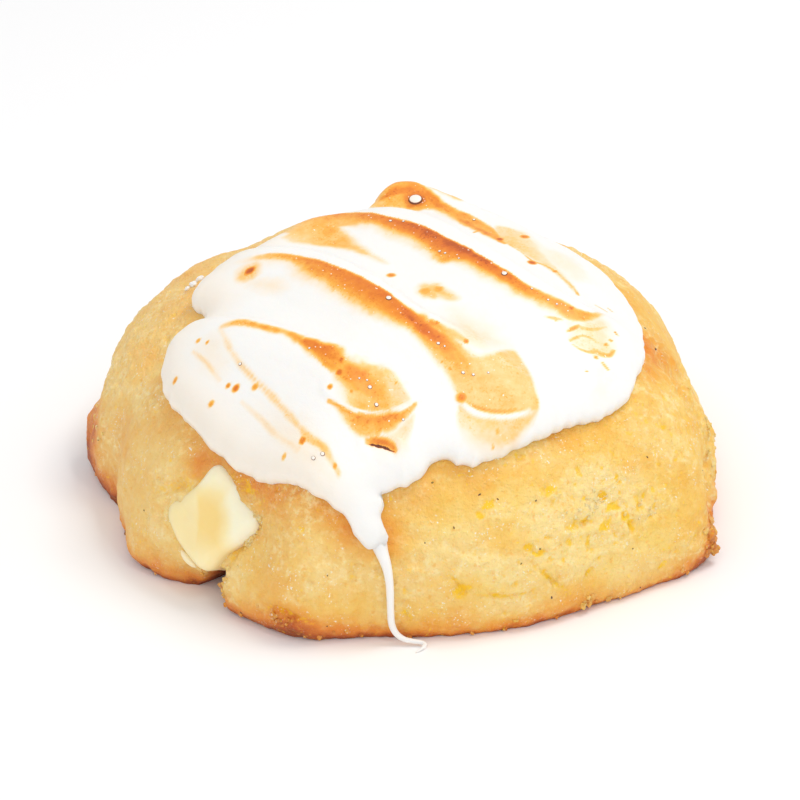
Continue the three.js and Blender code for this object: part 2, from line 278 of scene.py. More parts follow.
def make_piece(name, points, faces, finish, attributes=()):
    """A closed smooth-shaded mesh from points in mm on the plan and faces in blocks of one corner count, with
    numbers kept on its points. It rides on the cookie and takes the finish that it is given."""
    mesh = bpy.data.meshes.new(name)
    corners = [face for block in faces for face in block.tolist()]
    mesh.from_pydata(((points + TO_FOOTPRINT) * MM).tolist(), [], corners)
    for key, values in dict(attributes).items():
        mesh.attributes.new(key, "FLOAT", "POINT").data.foreach_set("value", np.asarray(values, np.float32))
    mesh.polygons.foreach_set("use_smooth", np.ones(len(mesh.polygons), bool))
    mesh.materials.append(finish)
    piece = bpy.data.objects.new(name, mesh)
    bpy.context.scene.collection.objects.link(piece)
    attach(piece, "root")
    return piece


def walls(lower, upper):
    """The four-cornered faces between rings of point numbers and the rings above them, facing out where the
    rings are anticlockwise."""
    return np.stack([lower, np.roll(lower, -1, -1), np.roll(upper, -1, -1), upper], -1).reshape(-1, 4)


def fan(ring, pole, face_up):
    """Triangles from an anticlockwise ring of point numbers to a pole, facing up or down."""
    beside = np.roll(ring, -1)
    return np.stack([ring if face_up else beside, beside if face_up else ring, np.full(len(ring), pole)], -1)


def rings_to_skin(rings, bottom, top):
    """Points and faces of a closed skin: rings of equal count from the bottom up, each anticlockwise, with a
    pole point at both ends."""
    number = np.arange(rings[..., 0].size).reshape(rings.shape[:2])
    points = np.concatenate([rings.reshape(-1, 3), [bottom], [top]])
    floor = fan(number[0], number.size, face_up=False)
    roof = fan(number[-1], number.size + 1, face_up=True)
    return points, [walls(number[:-1], number[1:]), floor, roof]


def line_distance(points, line):
    """Each point's distance to a line through corners, and how far along the line it is nearest, 0 to 1."""
    line = np.array(line, float)
    lengths = np.linalg.norm(np.diff(line, axis=0), axis=1)
    starts = np.concatenate([[0], np.cumsum(lengths)[:-1]])
    nearest = np.full(points.shape[:-1], 1e9)
    along = np.zeros(points.shape[:-1])
    for corner, step, length, start in zip(line[:-1], np.diff(line, axis=0), lengths, starts):
        share = np.clip(((points - corner) @ step) / length**2, 0, 1)
        away = np.linalg.norm(points - corner - share[..., None] * step, axis=-1)
        closer = away < nearest
        nearest = np.where(closer, away, nearest)
        along = np.where(closer, (start + share * length) / lengths.sum(), along)
    return nearest, along


# The meringue's edge on the plan, anticlockwise from the right. Each swipe ends in a lobe, and the tongue
# slips off between the last two at the front.
MERINGUE_EDGE = (
    (33.6, -9.7), (32.2, 0), (28, 8), (21.1, 14.9), (14.3, 20.7), (7, 25.7), (1.4, 28.5), (-3.2, 26.6),
    (-5.4, 21.4), (-11, 18.6), (-16.8, 13.4), (-21, 10.4), (-26.1, 6.5), (-28.8, 1), (-26.8, -4.6),
    (-31, -8.5), (-32.2, -13.5), (-30.2, -20.4), (-24.4, -28.8), (-19.4, -33.8), (-14.4, -37.9),
    (-10.3, -40.2),
    # the tongue: its left side, its torn tip, and its right side
    (-8.2, -41.1), (-7.4, -41.4), (-6.5, -41.95), (-6.1, -42.35), (-5.5, -42.55), (-4.6, -42.6),
    (-3.2, -42.6), (-2.6, -42.56), (-1.9, -42.42), (-1.6, -42.2), (-1.5, -41.9), (-1.9, -41.6), (-2.2, -41.3),
    (-2.6, -40.7), (-2.1, -40.1), (-2.2, -39.6), (-2.6, -39.3), (-1.8, -39), (-0.5, -38.7), (0.9, -38.3),
    (2.1, -37.8), (3.3, -37.2), (4.1, -36.4), (5.1, -35.9), (6, -35.7), (6.9, -35.8), (7.6, -36.1),
    (9.1, -36), (10.7, -35.7), (17.3, -32.1), (22.4, -27.9), (27.2, -25.4), (31.6, -19.9),
)
MERINGUE_MIDDLE = np.array([0, -5.0])


def smooth_line(corners, count, closed=False):
    """Points spread along a smooth curve through all the corners: a Catmull-Rom spline."""
    corners = np.array(corners, float)
    if closed:
        padded = np.concatenate([corners[-1:], corners, corners[:2]])
    else:
        padded = np.concatenate([2 * corners[:1] - corners[1:2], corners, 2 * corners[-1:] - corners[-2:-1]])
    spot = np.linspace(0, len(padded) - 3, count, endpoint=not closed)
    before = np.minimum(spot.astype(int), len(padded) - 4)
    t = (spot - before)[:, None]
    a, b, c, d = (padded[before + step] for step in range(4))
    return 0.5 * (2 * b + (c - a) * t + (2 * a - 5 * b + 4 * c - d) * t**2 + (3 * b - a - 3 * c + d) * t**3)


def way_round(line):
    """The way along a closed line at each point: from the point before it to the point after it."""
    return unit(np.roll(line, -1, 0) - np.roll(line, 1, 0))


def left_of(way):
    """Ways of the plan, turned a quarter to the left."""
    return np.stack([-way[..., 1], way[..., 0]], -1)


EDGE_POINTS = 2400
ROUGH_POINTS = 6000

rough_line = smooth_line(MERINGUE_EDGE, ROUGH_POINTS, closed=True)
steps = np.linalg.norm(np.diff(rough_line, axis=0, append=rough_line[:1]), axis=1)
travel = np.concatenate([[0], np.cumsum(steps)])
evenly = np.linspace(0, travel[-1], EDGE_POINTS, endpoint=False)
around = np.concatenate([rough_line, rough_line[:1]])
edge_line = np.stack([np.interp(evenly, travel, around[:, 0]), np.interp(evenly, travel, around[:, 1])], -1)
waver = 0.3 * unevenness(levelled(edge_line), 3.4, 23) + 0.22 * unevenness(levelled(edge_line), 1.5, 24)
edge_line = edge_line - waver[:, None] * left_of(way_round(edge_line))

POINTS_AT_ONCE = 4000


def edge_distance(points, line):
    """Each point's distance to the nearest of a line's points, in blocks that fit in memory."""
    squared = np.empty(len(points))
    for block in np.array_split(np.arange(len(points)), 1 + len(points) // POINTS_AT_ONCE):
        here = points[block]
        gaps = (here**2).sum(1)[:, None] + (line**2).sum(1) - 2 * here @ line.T
        squared[block] = gaps.min(1)
    return np.sqrt(np.maximum(squared, 0))


# Cracks and torn places of the side: corners of the line, half its width, and its depth.
CRACKS = (
    # low in front
    (((5.6, -43.3, 9.8), (7.2, -43.3, 9.2), (8.4, -43.4, 7.4), (10, -43.2, 6.6)), 0.55, 0.6),
    (((10, -43.2, 6.6), (13.7, -42.4, 5.9), (17.7, -41.2, 5.7)), 0.45, 0.45),
    # from the middle down to the right
    (
        ((17.6, -40.9, 8.9), (19, -40.3, 8.7), (19.9, -40.1, 7.7), (20.8, -39.7, 6.7), (22.4, -38.9, 4.8)),
        0.45,
        0.5,
    ),
    # beside the string
    (((0.1, -43.8, 8), (1.5, -43.9, 6.7)), 0.45, 0.4),
    (((-0.1, -44, 5.2), (0.9, -44, 3.8), (2.7, -44, 3)), 0.4, 0.35),
    # round the right of the chunk
    (
        ((-24, -35.6, 6), (-23.2, -35.8, 7.8), (-21.7, -35.7, 10.6), (-20.3, -35.7, 12.2), (-18.9, -36, 13.6)),
        0.8,
        1.1,
    ),
    (((-19.4, -34.9, 16.7), (-22.2, -31.8, 18.6)), 1.2, 0.7),
    # over the chunk's upper left
    (((-33.4, -25.8, 12.9), (-31.6, -27, 14.3), (-29, -28.5, 15.9), (-27.3, -29.2, 16.9)), 1.0, 0.8),
    # under the crust of the heel
    (
        ((-18.5, -41.6, 4.4), (-17.7, -42.3, 4.2), (-16, -43.7, 4.6), (-13.7, -45, 3.8), (-11.5, -45.3, 3.4)),
        0.6,
        0.8,
    ),
)
# Bulges and hollows of the side: the middle, the spread, and how far it stands out.
BULGES = (
    # the right wall, and the corner that sticks out below it
    ((42.5, -18, 8.5), 4.5, -1.2),
    ((41, -6, 18.5), 5.5, -1.6),
    ((44.5, -13, 6.5), 4.5, -1.3),
    ((44.5, -9, 10), 4, -0.8),
    ((43, -22.3, 3.4), 2, 0.7),
    # low at the left, and the heel
    ((-38.8, -24, 2), 4, 2),
    ((-29.3, -32.5, 0.8), 3.6, -2.4),
    ((-23, -41, 2), 3, 0.8),
)
# Pits: the middle, half the width along the side, half the height, and the depth.
PITS = (
    ((27.4, -32.4, 16), 0.7, 0.4, 0.8),
    ((29, -32.4, 14.4), 1.0, 0.45, 1.1),
    ((31.5, -32.1, 11.4), 0.7, 0.8, 1.2),
    ((30.6, -32.2, 12.6), 0.5, 0.6, 0.9),
    ((27.6, -34, 12.1), 0.9, 0.5, 0.5),
    ((24.1, -35.7, 13.5), 1.2, 0.6, 0.4),
    ((20, -35.5, 18.6), 1.2, 0.5, 0.5),
    ((11.9, -38.9, 18.1), 1.0, 0.5, 0.5),
    ((10.6, -39.9, 17), 0.6, 0.4, 0.4),
    ((17.5, -40.1, 12.1), 0.6, 0.5, 0.7),
    ((18.9, -39.9, 11.2), 0.9, 0.35, 0.7),
    ((8.4, -43.4, 7.4), 0.9, 0.8, 0.8),
    ((4.4, -37.9, 20.9), 0.3, 0.6, 0.4),
    ((36.1, -30, 3.6), 0.6, 0.4, 0.4),
    ((-34, -20, 16), 0.6, 0.4, 0.4),
)

COLUMNS = 780
FOOT_ROWS = 12
SIDE_ROWS = 96
HIDDEN_ROWS = 8
# How much narrower the base is than the rim, as a share, and how far the close rows run on under the cap.
FOOT_TUCK = 0.028
UNDER_CAP = 3.5
# The cap's edge is evened out over this many columns on each side.
EVENED_COLUMNS = 14

# The columns stand closer together at the front, where the dough is most torn.
turns = np.linspace(-np.pi, np.pi, COLUMNS, endpoint=False)
turns = turns - 0.3 * np.sin(turns + np.pi / 2)


def dough_surface():
    """The skin's rings before any roughness, with the way out at each point. Up the foot the radius grows to
    the rim; above it the rows are spread over the dome, closely as far as the meringue's edge."""
    foot_heights = np.linspace(0, RIM_HEIGHT, FOOT_ROWS, endpoint=False)
    foot_share = 1 - FOOT_TUCK + FOOT_TUCK * np.sin(foot_heights / RIM_HEIGHT * np.pi / 2) ** 0.8
    ways = plan_way(turns)
    foot = np.empty((FOOT_ROWS, COLUMNS, 3))
    foot[..., :2] = DOME_AXIS + (foot_share[:, None] * rim_radius(turns))[..., None] * ways
    foot[..., 2] = foot_heights[:, None]
    foot[1:, :, :2] = swollen(foot[1:])[..., :2]
    foot_out = np.broadcast_to(levelled(ways), foot.shape)
    # The meringue's edge as a share of the radius, seen from the dome's axis.
    edge_off = edge_line - DOME_AXIS
    edge_from_axis = np.arctan2(edge_off[:, 1], edge_off[:, 0])
    order = np.argsort(edge_from_axis)
    covered = np.interp(turns, edge_from_axis[order], np.hypot(*edge_off.T)[order], period=2 * np.pi)
    steps = range(-EVENED_COLUMNS, EVENED_COLUMNS + 1)
    covered = np.mean([np.roll(covered, step) for step in steps], axis=0)
    inner = np.clip((covered - UNDER_CAP) / rim_radius(turns), 0.25, 0.95)
    last = np.arccos(inner ** (DOME_POWER / 2))
    lift = np.linspace(0, 1, SIDE_ROWS)[:, None] * last
    hidden = last + np.linspace(0, 1, HIDDEN_ROWS + 2)[1:-1, None] * (np.pi / 2 - last)
    share = np.cos(np.concatenate([lift, hidden])) ** (2 / DOME_POWER)
    side, side_out = dome(np.broadcast_to(turns, share.shape), share)
    return np.concatenate([foot, side]), np.concatenate([foot_out, side_out])


rings, outward = dough_surface()
height = rings[..., 2]
bearing = np.degrees(np.arctan2(rings[..., 1] - DOME_AXIS[1], rings[..., 0] - DOME_AXIS[0]))


def side_band(middle, spread):
    """1 toward a direction in degrees, fading over the spread."""
    return bell(np.degrees(turn_between(np.radians(bearing), np.radians(middle))), spread)


# How rough the crumb is: smooth and moist in places, torn and lumpy in others, most at the front right.
roughness = unevenness(rings, 7, 12, stretch=(1.4, 1.4, 0.8)) + 0.9 * close_to(rings, (25, -33.5, 14), 8)
roughness += 0.6 * close_to(rings, (-19, -37, 11), 6) + 0.5 * side_band(-12, 18)
roughness = ease(roughness, -0.25, 0.55) * ease(height, 1, 4)
# Broad lumps, small lumps and grain; long creases down the left; crumbs torn off the right.
relief = 0.42 * unevenness(rings, 9, 1) + 0.2 * unevenness(rings, 3.6, 2, stretch=(1.3, 1.3, 0.8))
relief += (
    (0.1 + 0.14 * roughness) * unevenness(rings, 1.7, 3)
    + (0.07 + 0.12 * roughness) * unevenness(rings, 0.95, 4)
)
relief += (0.08 + 0.4 * roughness) * (0.3 - np.abs(unevenness(rings, 2.6, 26, stretch=(1.4, 1.4, 0.9))))
left_side = side_band(178, 34) * ease(height, 3, 9)
creases = unevenness(rings, 1.5, 5, stretch=(2.2, 1, 5))
relief += left_side * (0.3 * creases - 0.25 * np.abs(unevenness(rings, 3.2, 6, stretch=(2, 1, 3))))
torn = side_band(-12, 15) * ease(height, 1, 4) * (1 - ease(height, 20, 27))
relief += torn * (0.7 * unevenness(rings, 2.8, 7) + 0.45 * unevenness(rings, 1.4, 8) + 0.2)
crumbly = side_band(-56, 12) * bell(height - 14, 5) + 0.8 * side_band(-119, 6) * bell(height - 8, 5)
relief += crumbly * 0.3 * unevenness(rings, 1.7, 9)
for middle, spread, lift in BULGES:
    relief += lift * close_to(rings, middle, spread)
foot_edge = 1 - ease(height, 1.5, 5)
relief += foot_edge * (0.3 * unevenness(rings, 2, 10) + 0.15 * unevenness(rings, 1, 19))
# Pores: wherever a fine unevenness dips far enough.
pores = ease(unevenness(rings, 1.3, 11, stretch=(1.3, 1.3, 1)), 0.42, 0.75) * (0.35 + 0.65 * roughness)
relief -= 0.3 * pores * ease(height, 2, 5)
rough_edge = 0.3 * unevenness(rings, 1.3, 13) + 0.15 * unevenness(rings, 0.8, 20)
hollows = 0.5 * pores
for line, half_width, depth in CRACKS:
    nearest, along = line_distance(rings, line)
    open_here = np.clip(1 - ((nearest + rough_edge) / half_width), 0, 1) ** 0.6
    open_here = open_here * np.sqrt(np.sin(np.pi * np.clip(along, 0.06, 0.94)))
    relief -= depth * open_here
    hollows = np.maximum(hollows, open_here)
for middle, half_width, half_height, depth in PITS:
    off = rings - np.array(middle)
    sideways = np.hypot(off[..., 0], off[..., 1]) / half_width
    open_here = np.clip(1.5 - np.hypot(sideways, off[..., 2] / half_height) - 3 * rough_edge, 0, 1) ** 0.7
    relief -= 0.5 * depth * open_here
    hollows = np.maximum(hollows, open_here)
# Dents, which lie lower than the mean of the points round them, are painted the same deep yellow: painted
# warm shade, where light sinks into the dough.
around_it = sum(np.roll(relief, step, 1) for step in range(-4, 5)) / 9
around_it[2:-2] = sum(around_it[2 + step : len(relief) - 2 + step] for step in range(-2, 3)) / 5
dent_shade = ease(around_it - relief, 0.02, 0.2) * ease(height, 3, 6)
hollows = np.maximum(hollows, 0.7 * side_band(-50, 40) * dent_shade) * (0.5 + 0.5 * side_band(-50, 50))
rings = rings + outward * relief[..., None]

# The notch under the chunk: an opening that leans to the right as it rises, with the heel standing out
# beside it. Its two sides are bearings in degrees, which change with the height, and everything between
# them moves toward the dome's axis.
NOTCH_DEPTH = 5
NOTCH_TOP = 6.3
HEEL_STEP = 0.9
notch_left = -134.2 + height
notch_right = np.where(height < 3.3, -123.6 - 0.68 * height, -125.8 + 0.55 * (height - 3.3))
ragged = 0.5 * unevenness(rings, 1.3, 14)
from_wall = np.minimum(bearing - notch_left, notch_right - bearing) * 0.8 + ragged
in_notch = ease(np.minimum(from_wall, NOTCH_TOP - height), 0, 0.7)
toward_axis = unit((rings - np.array([*DOME_AXIS, 0])) * np.array([1, 1, 0]))
rings = rings - toward_axis * (NOTCH_DEPTH * in_notch)[..., None]
heel_step = ease(bearing, -125.5, -123.5) * (1 - ease(bearing, -122, -112)) * (1 - ease(height, 4, 9))
rings = rings + toward_axis * (HEEL_STEP * heel_step)[..., None]
rings[0, :, 2] = 0
footprint_low = np.array(solids_box[0]) / MM - TO_FOOTPRINT
footprint_high = np.array(solids_box[1]) / MM - TO_FOOTPRINT
rings = np.clip(rings, footprint_low, footprint_high)

# Where the crust is browner or paler than round it: the middle, the spread, and how much. One, high on the
# right under the meringue's edge, is painted shade.
BROWN_AND_SHADE_SPOTS = (
    ((-14.3, -45.2, 2.5), 5, 0.24),
    ((31.5, -33, 2), 8, -0.26),
    ((12, -42, 2), 8, -0.12),
    ((43.5, -22.3, 3.4), 3, 0.44),
    ((44.6, -19.5, 7.5), 3, 0.3),
    # painted shade, high on the right under the meringue's edge
    ((36.7, -4.8, 24.3), 6.5, 0.36),
    ((-14.4, -39, 17), 4.5, 0.2),
    ((-20.5, -33.6, 19), 3.6, 0.16),
    ((-29, -28.5, 16.5), 3.6, 0.16),
    ((-19.6, -36.4, 12), 2.4, 0.16),
    ((-16.6, -43, 8), 4.5, 0.1),
    ((-39.8, -9, 15), 6, 0.09),
    ((30, 17, 25), 9, 0.1),
    ((-43.4, 2.5, 12), 2.5, 0.2),
    ((-44.6, 0, 8.6), 2.5, 0.25),
)

# How brown the crust and the torched meringue get, of 1.
DARKEST = 0.88

# How far the crust is browned: most at the foot, on the ledge at the left and at the right corner, and a
# little under the meringue's edge, where the dough is moist and where the cap's shade is painted in as well.
# The notch's walls and a spot high on the right are painted shade too.
shelter = edge_distance(rings.reshape(-1, 3), dome_over(edge_line)[0]).reshape(height.shape)
browning_and_shade = 0.2 + 0.1 * unevenness(rings, 6, 15) + 0.05 * unevenness(rings, 1.6, 16) - 0.1 * roughness
browning_and_shade += (0.1 + 0.22 * side_band(-122, 42)) * bell(shelter, 3.4)
browning_and_shade += 0.07 * side_band(-8, 34) * ease(height, 3, 10)
browning_and_shade += 0.42 * (1 - ease(height, 0.6, 6.5 + 2 * unevenness(rings, 9, 17)))
browning_and_shade += 0.25 * (1 - ease(height, 0, 1.6 + 0.8 * unevenness(rings, 3, 18)))
browning_and_shade += 0.4 * side_band(-26, 8) * bell(height - 4, 3.5)
browning_and_shade += 0.45 * side_band(174, 9) * bell(height - 5, 4.5)
browning_and_shade += 0.2 * side_band(165, 40) * (1 - ease(height, 6, 20))
browning_and_shade += 0.1 * side_band(150, 45)
browning_and_shade -= 0.12 * side_band(-62, 22) * bell(height - 15, 6)
# Painted shadow: the notch's walls are painted dark, and may go darker than the rest of the crust, for the
# shade in the opening under the chunk.
browning_and_shade += 0.6 * in_notch
for middle, spread, more in BROWN_AND_SHADE_SPOTS:
    browning_and_shade += more * close_to(rings, middle, spread)
browning_and_shade[0] += 0.3
browning_and_shade = np.clip(browning_and_shade, 0, DARKEST + 0.1 * in_notch)
gold_share = 1.15 * side_band(-45, 90) * (0.85 + 0.35 * unevenness(rings, 8, 25)) * (1 - 0.5 * roughness)
gold_share += 0.4 * side_band(-8, 34) - 0.35 * side_band(-48, 26) * (1 - ease(height, 4, 10))

points, faces = rings_to_skin(rings, (*DOME_AXIS, 0), dome(np.zeros(1), np.zeros(1))[0][0])
# How brown the poles are: the middle of the base, and the top, which is pale under the meringue.
POLES_BROWNED = (0.9, 0.2)


def wire(tree, start, end):
    """Joins an output to an input."""
    tree.links.new(start, end)


def grain(tree, place, scale, detail=2.0, roughness=0.5, seed=0.0):
    """A noise over the piece, 0 to 1, of that many waves to the metre."""
    settings = {"Scale": scale, "Detail": detail, "Roughness": roughness, "W": seed}
    node = shader_node(tree, "ShaderNodeTexNoise", settings, noise_dimensions="4D")
    wire(tree, place, node.inputs["Vector"])
    return node.outputs["Fac"]


def spread_out(tree, value, low, high, to_low=0.0, to_high=1.0):
    """A value carried from one range to another and held inside it."""
    ranges = {"From Min": low, "From Max": high, "To Min": to_low, "To Max": to_high}
    node = shader_node(tree, "ShaderNodeMapRange", ranges)
    wire(tree, value, node.inputs["Value"])
    return node.outputs["Result"]


def worked(tree, kind, a, b):
    """Two values through one piece of arithmetic."""
    node = shader_node(tree, "ShaderNodeMath", operation=kind)
    for socket, value in zip(node.inputs, (a, b)):
        if isinstance(value, (int, float)):
            socket.default_value = value
        else:
            wire(tree, value, socket)
    return node.outputs["Value"]


def times(tree, a, b):
    """Two values multiplied."""
    return worked(tree, "MULTIPLY", a, b)


def plus(tree, a, b):
    """Two values added."""
    return worked(tree, "ADD", a, b)


def speckle(tree, place, scale, detail, roughness, seed, *ranges):
    """A noise of that many waves to the metre, carried from one range to another."""
    return spread_out(tree, grain(tree, place, scale, detail, roughness, seed), *ranges)


def colour_steps(tree, value, steps):
    """A value turned into a colour by steps, each a position and a colour."""
    node = shader_node(tree, "ShaderNodeValToRGB")
    ramp = node.color_ramp
    while len(ramp.elements) < len(steps):
        ramp.elements.new(0.5)
    for element, (position, step) in zip(ramp.elements, steps):
        element.position = position
        element.color = step
    wire(tree, value, node.inputs["Fac"])
    return node.outputs["Color"]


def blended(tree, share, under, over, kind="MIX"):
    """One colour laid over another by a share."""
    node = shader_node(tree, "ShaderNodeMix", data_type="RGBA", blend_type=kind)
    colours = [socket for socket in node.inputs if socket.type == "RGBA"]
    for socket, value in zip([node.inputs[0], *colours], (share, under, over)):
        if hasattr(value, "links"):
            wire(tree, value, socket)
        else:
            socket.default_value = value
    return next(socket for socket in node.outputs if socket.type == "RGBA")


def kept_number(tree, name):
    """The number kept on the piece's points under that name."""
    return shader_node(tree, "ShaderNodeAttribute", attribute_name=name).outputs["Fac"]


# Crumb and froth: a cloudy mottling, sparse specks, and a bump of two grains, used by every food here.
food_grain = bpy.data.node_groups.new("food_grain", "ShaderNodeTree")
for name, kind, direction in (
    ("Place", "NodeSocketVector", "INPUT"),
    ("Scale", "NodeSocketFloat", "INPUT"),
    ("Depth", "NodeSocketFloat", "INPUT"),
    ("Mottle", "NodeSocketFloat", "OUTPUT"),
    ("Specks", "NodeSocketFloat", "OUTPUT"),
    ("Normal", "NodeSocketVector", "OUTPUT"),
):
    food_grain.interface.new_socket(name, in_out=direction, socket_type=kind)
ins = shader_node(food_grain, "NodeGroupInput").outputs
outs = shader_node(food_grain, "NodeGroupOutput").inputs
grown = shader_node(food_grain, "ShaderNodeVectorMath", operation="SCALE")
wire(food_grain, ins["Place"], grown.inputs[0])
wire(food_grain, ins["Scale"], grown.inputs["Scale"])
grown = grown.outputs["Vector"]
wire(food_grain, grain(food_grain, grown, 1, 4, 0.6), outs["Mottle"])
wire(food_grain, speckle(food_grain, grown, 10, 1, 0.4, 7, 0.62, 0.7), outs["Specks"])
coarse = grain(food_grain, grown, 2.6, 4, 0.6, 5)
heights = plus(food_grain, coarse, times(food_grain, grain(food_grain, grown, 9, 2, 0.5, 6), 0.5))
bump = shader_node(food_grain, "ShaderNodeBump", {"Strength": 1.0})
wire(food_grain, heights, bump.inputs["Height"])
wire(food_grain, ins["Depth"], bump.inputs["Distance"])
wire(food_grain, bump.outputs["Normal"], outs["Normal"])


def grained(tree, place, scale, depth):
    """The food grain placed in a material, with that many waves to the metre and that depth in metres."""
    node = shader_node(tree, "ShaderNodeGroup", {"Scale": scale, "Depth": depth}, node_tree=food_grain)
    wire(tree, place, node.inputs["Place"])
    return node.outputs


def mottled(tree, food, low, high):
    """The food grain's mottling, from low where it is dark to high where it is light."""
    return spread_out(tree, food["Mottle"], 0.3, 0.7, low, high)


def soft_inside(shader, weight, radius, scale):
    """Lets light soak into a finish: how much of it, how far each colour goes, and the reach in metres."""
    soak = {"Subsurface Weight": weight, "Subsurface Radius": radius, "Subsurface Scale": scale}
    set_inputs(shader, soak)


crust, tree, shader, place = finish_of("baked_crust")
crumb = grained(tree, place, 300, 0.0005)
torn_here = kept_number(tree, "torn")
brown = plus(tree, kept_number(tree, "browning_and_shade"), mottled(tree, crumb, -0.07, 0.07))
crust_colour = colour_steps(
    tree,
    brown,
    (
        (0.0, colour(248, 224, 165)),
        (0.22, colour(243, 204, 127)),
        (0.42, colour(240, 183, 99)),
        (0.62, colour(232, 145, 65)),
        (0.82, colour(190, 94, 42)),
        (1.0, colour(98, 50, 36)),
    ),
)
# The front and the right are a warmer gold than the left.
gold = times(tree, kept_number(tree, "gold"), mottled(tree, crumb, 0.7, 1.1))
crust_colour = blended(tree, gold, crust_colour, (1, 0.875, 0.42, 1), "MULTIPLY")
# Pale crumbs, thickest where the dough is torn, and between them specks where butter shows.
crumbs = speckle(tree, place, 850, 3, 0.6, 9, 0.5, 0.64, 0, 0.6)
crumbs = times(tree, crumbs, spread_out(tree, torn_here, 0, 1, 0.25, 1))
crumbs = times(tree, crumbs, spread_out(tree, brown, 0.45, 0.75, 1, 0.1))
crust_colour = blended(tree, crumbs, crust_colour, colour(254, 232, 172))
buttery = speckle(tree, place, 1300, 2, 0.5, 10, 0.42, 0.3, 0, 0.5)
crust_colour = blended(tree, buttery, crust_colour, colour(240, 176, 60))
# Pricks, in patches, and the pits and cracks: all deep yellow inside. The dents get the same deep yellow as
# painted warm shade.
pricks = speckle(tree, place, 900, 2, 0.55, 33, 0.36, 0.3)
pricks = times(tree, pricks, speckle(tree, place, 230, 2, 0.5, 32, 0.44, 0.58))
# The pits' borders are broken by the crumb.
broken = speckle(tree, place, 1500, 3, 0.6, 34, 0.34, 0.62, -0.45, 0.15)
in_hollows = spread_out(tree, plus(tree, kept_number(tree, "hollows"), broken), 0.1, 0.7)
in_hollows = worked(tree, "MAXIMUM", in_hollows, times(tree, pricks, 0.75))
crust_colour = blended(tree, times(tree, in_hollows, 0.88), crust_colour, colour(255, 204, 20))
# Glints: sparse specks painted near white into the colour as a painted highlight, where a smooth coat shines
# too.
glints = times(tree, crumb["Specks"], speckle(tree, place, 260, 2, 0.6, 7, 0.5, 0.64, 0.02, 0.9))
glints = times(tree, glints, spread_out(tree, brown, 0.5, 0.8, 1, 0.2))
crust_colour = blended(tree, glints, crust_colour, colour(255, 250, 232))
wire(tree, crust_colour, shader.inputs["Base Color"])
wire(tree, spread_out(tree, glints, 0, 1, 0.58, 0.25), shader.inputs["Roughness"])
wire(tree, glints, shader.inputs["Coat Weight"])
set_inputs(shader, {"Coat Roughness": 0.12, "Specular IOR Level": 0.4})
soft_inside(shader, 0.25, (1.0, 0.55, 0.2), 0.0025)
pricked = shader_node(tree, "ShaderNodeBump", {"Strength": 0.5, "Distance": -0.00008})
wire(tree, pricks, pricked.inputs["Height"])
wire(tree, crumb["Normal"], pricked.inputs["Normal"])
wire(tree, pricked.outputs["Normal"], shader.inputs["Normal"])

baked_dough = make_piece(
    "baked_dough",
    points,
    faces,
    crust,
    {
        "browning_and_shade": np.append(browning_and_shade.ravel(), POLES_BROWNED),
        "hollows": np.append(hollows.ravel(), [0, 0]),
        "torn": np.append(roughness.ravel(), [0, 0]),
        "gold": np.append(np.clip(gold_share, 0, 1).ravel(), [0, 0]),
    },
)
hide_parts("cookie")

# ---------------------------------------------------------------- the meringue cap
# Soft meringue spread over the top with a spoon in four swipes from the rear left to the front right, then
# torched: the crests are browned, the hollows between them stay white. A tongue slips off the front.

MERINGUE_THICKNESS = 3.2
EDGE_WIDTH = 4.2
EDGE_BULGE = 1.0
# Crests from the rear left to the front right: plan, and the height at each corner.
SWIPES = (
    (
        (-27, -9.5, 1.4), (-20, -14.2, 2), (-12.4, -20.1, 2.2), (-6, -24.8, 1.8), (0.2, -28.6, 1.2),
        (2, -34, 0.4),
    ),
    (
        (-25, 7, 0.6), (-19, 4.5, 1.5), (-11, -0.5, 2.3), (-4.5, -8.2, 2.6), (1.7, -15.9, 2.2),
        (9, -20.5, 1.4), (17, -26, 0.5),
    ),
    (
        (-16.8, 13.2, 1.4), (-13.5, 14.8, 1.7), (-8, 15.5, 1.2), (-1, 13.5, 2.4), (5.7, 7.6, 2.6),
        (13.4, -2.4, 2.5), (21, -9.5, 1.9), (28.3, -12, 0.8),
    ),
    (
        (-3.8, 23.4, 2.4), (-1.6, 24.2, 3.2), (1.8, 24.5, 3.3), (5, 23.6, 2.6), (8, 21.6, 1.9),
        (13, 17.5, 0.9), (19.5, 10, 0.4), (25.5, -1, 0.2),
    ),
)
# How wide each swipe is on its gentle side, and all of them on the steep one.
CREST_GENTLE = (6.5, 6.5, 6.5, 3.2)
CREST_STEEP = 1.9
CREST_STEPS = 240


def beside_line(plan, line, steps=64):
    """For points of the plan: the distance to a smooth line through corners, which side of it they are on
    (-1 right of the way along it, 1 left of it, 0 off its ends), how far along it is nearest, and the
    line's further columns there."""
    path = smooth_line(line, steps)
    ahead = unit(np.gradient(path[:, :2], axis=0))
    away = np.full(plan.shape[:-1], 1e9)
    side = np.zeros(plan.shape[:-1])
    along = np.zeros(plan.shape[:-1])
    for index, (spot, way) in enumerate(zip(path[:, :2], ahead)):
        off = plan - spot
        distance = np.hypot(off[..., 0], off[..., 1])
        closer = distance < away
        away = np.where(closer, distance, away)
        across = (way[0] * off[..., 1] - way[1] * off[..., 0]) / np.maximum(distance, 1e-6)
        side = np.where(closer, across, side)
        along = np.where(closer, index, along)
    extra = path[along.astype(int), 2:]
    return away, side, along / (len(path) - 1), extra


def swipe_height(plan):
    """The height that the swipes add: for each, a bell of the distance to its crest, wide on the gentle side
    and narrow on the steep one."""
    total = np.zeros(plan.shape[:-1])
    for swipe, gentle in zip(SWIPES, CREST_GENTLE):
        away, side, _, extra = beside_line(plan, swipe, CREST_STEPS)
        width = gentle + (CREST_STEEP - gentle) * ease(side, -1, 1)
        total += extra[..., 0] * bell(away, width)
    return total


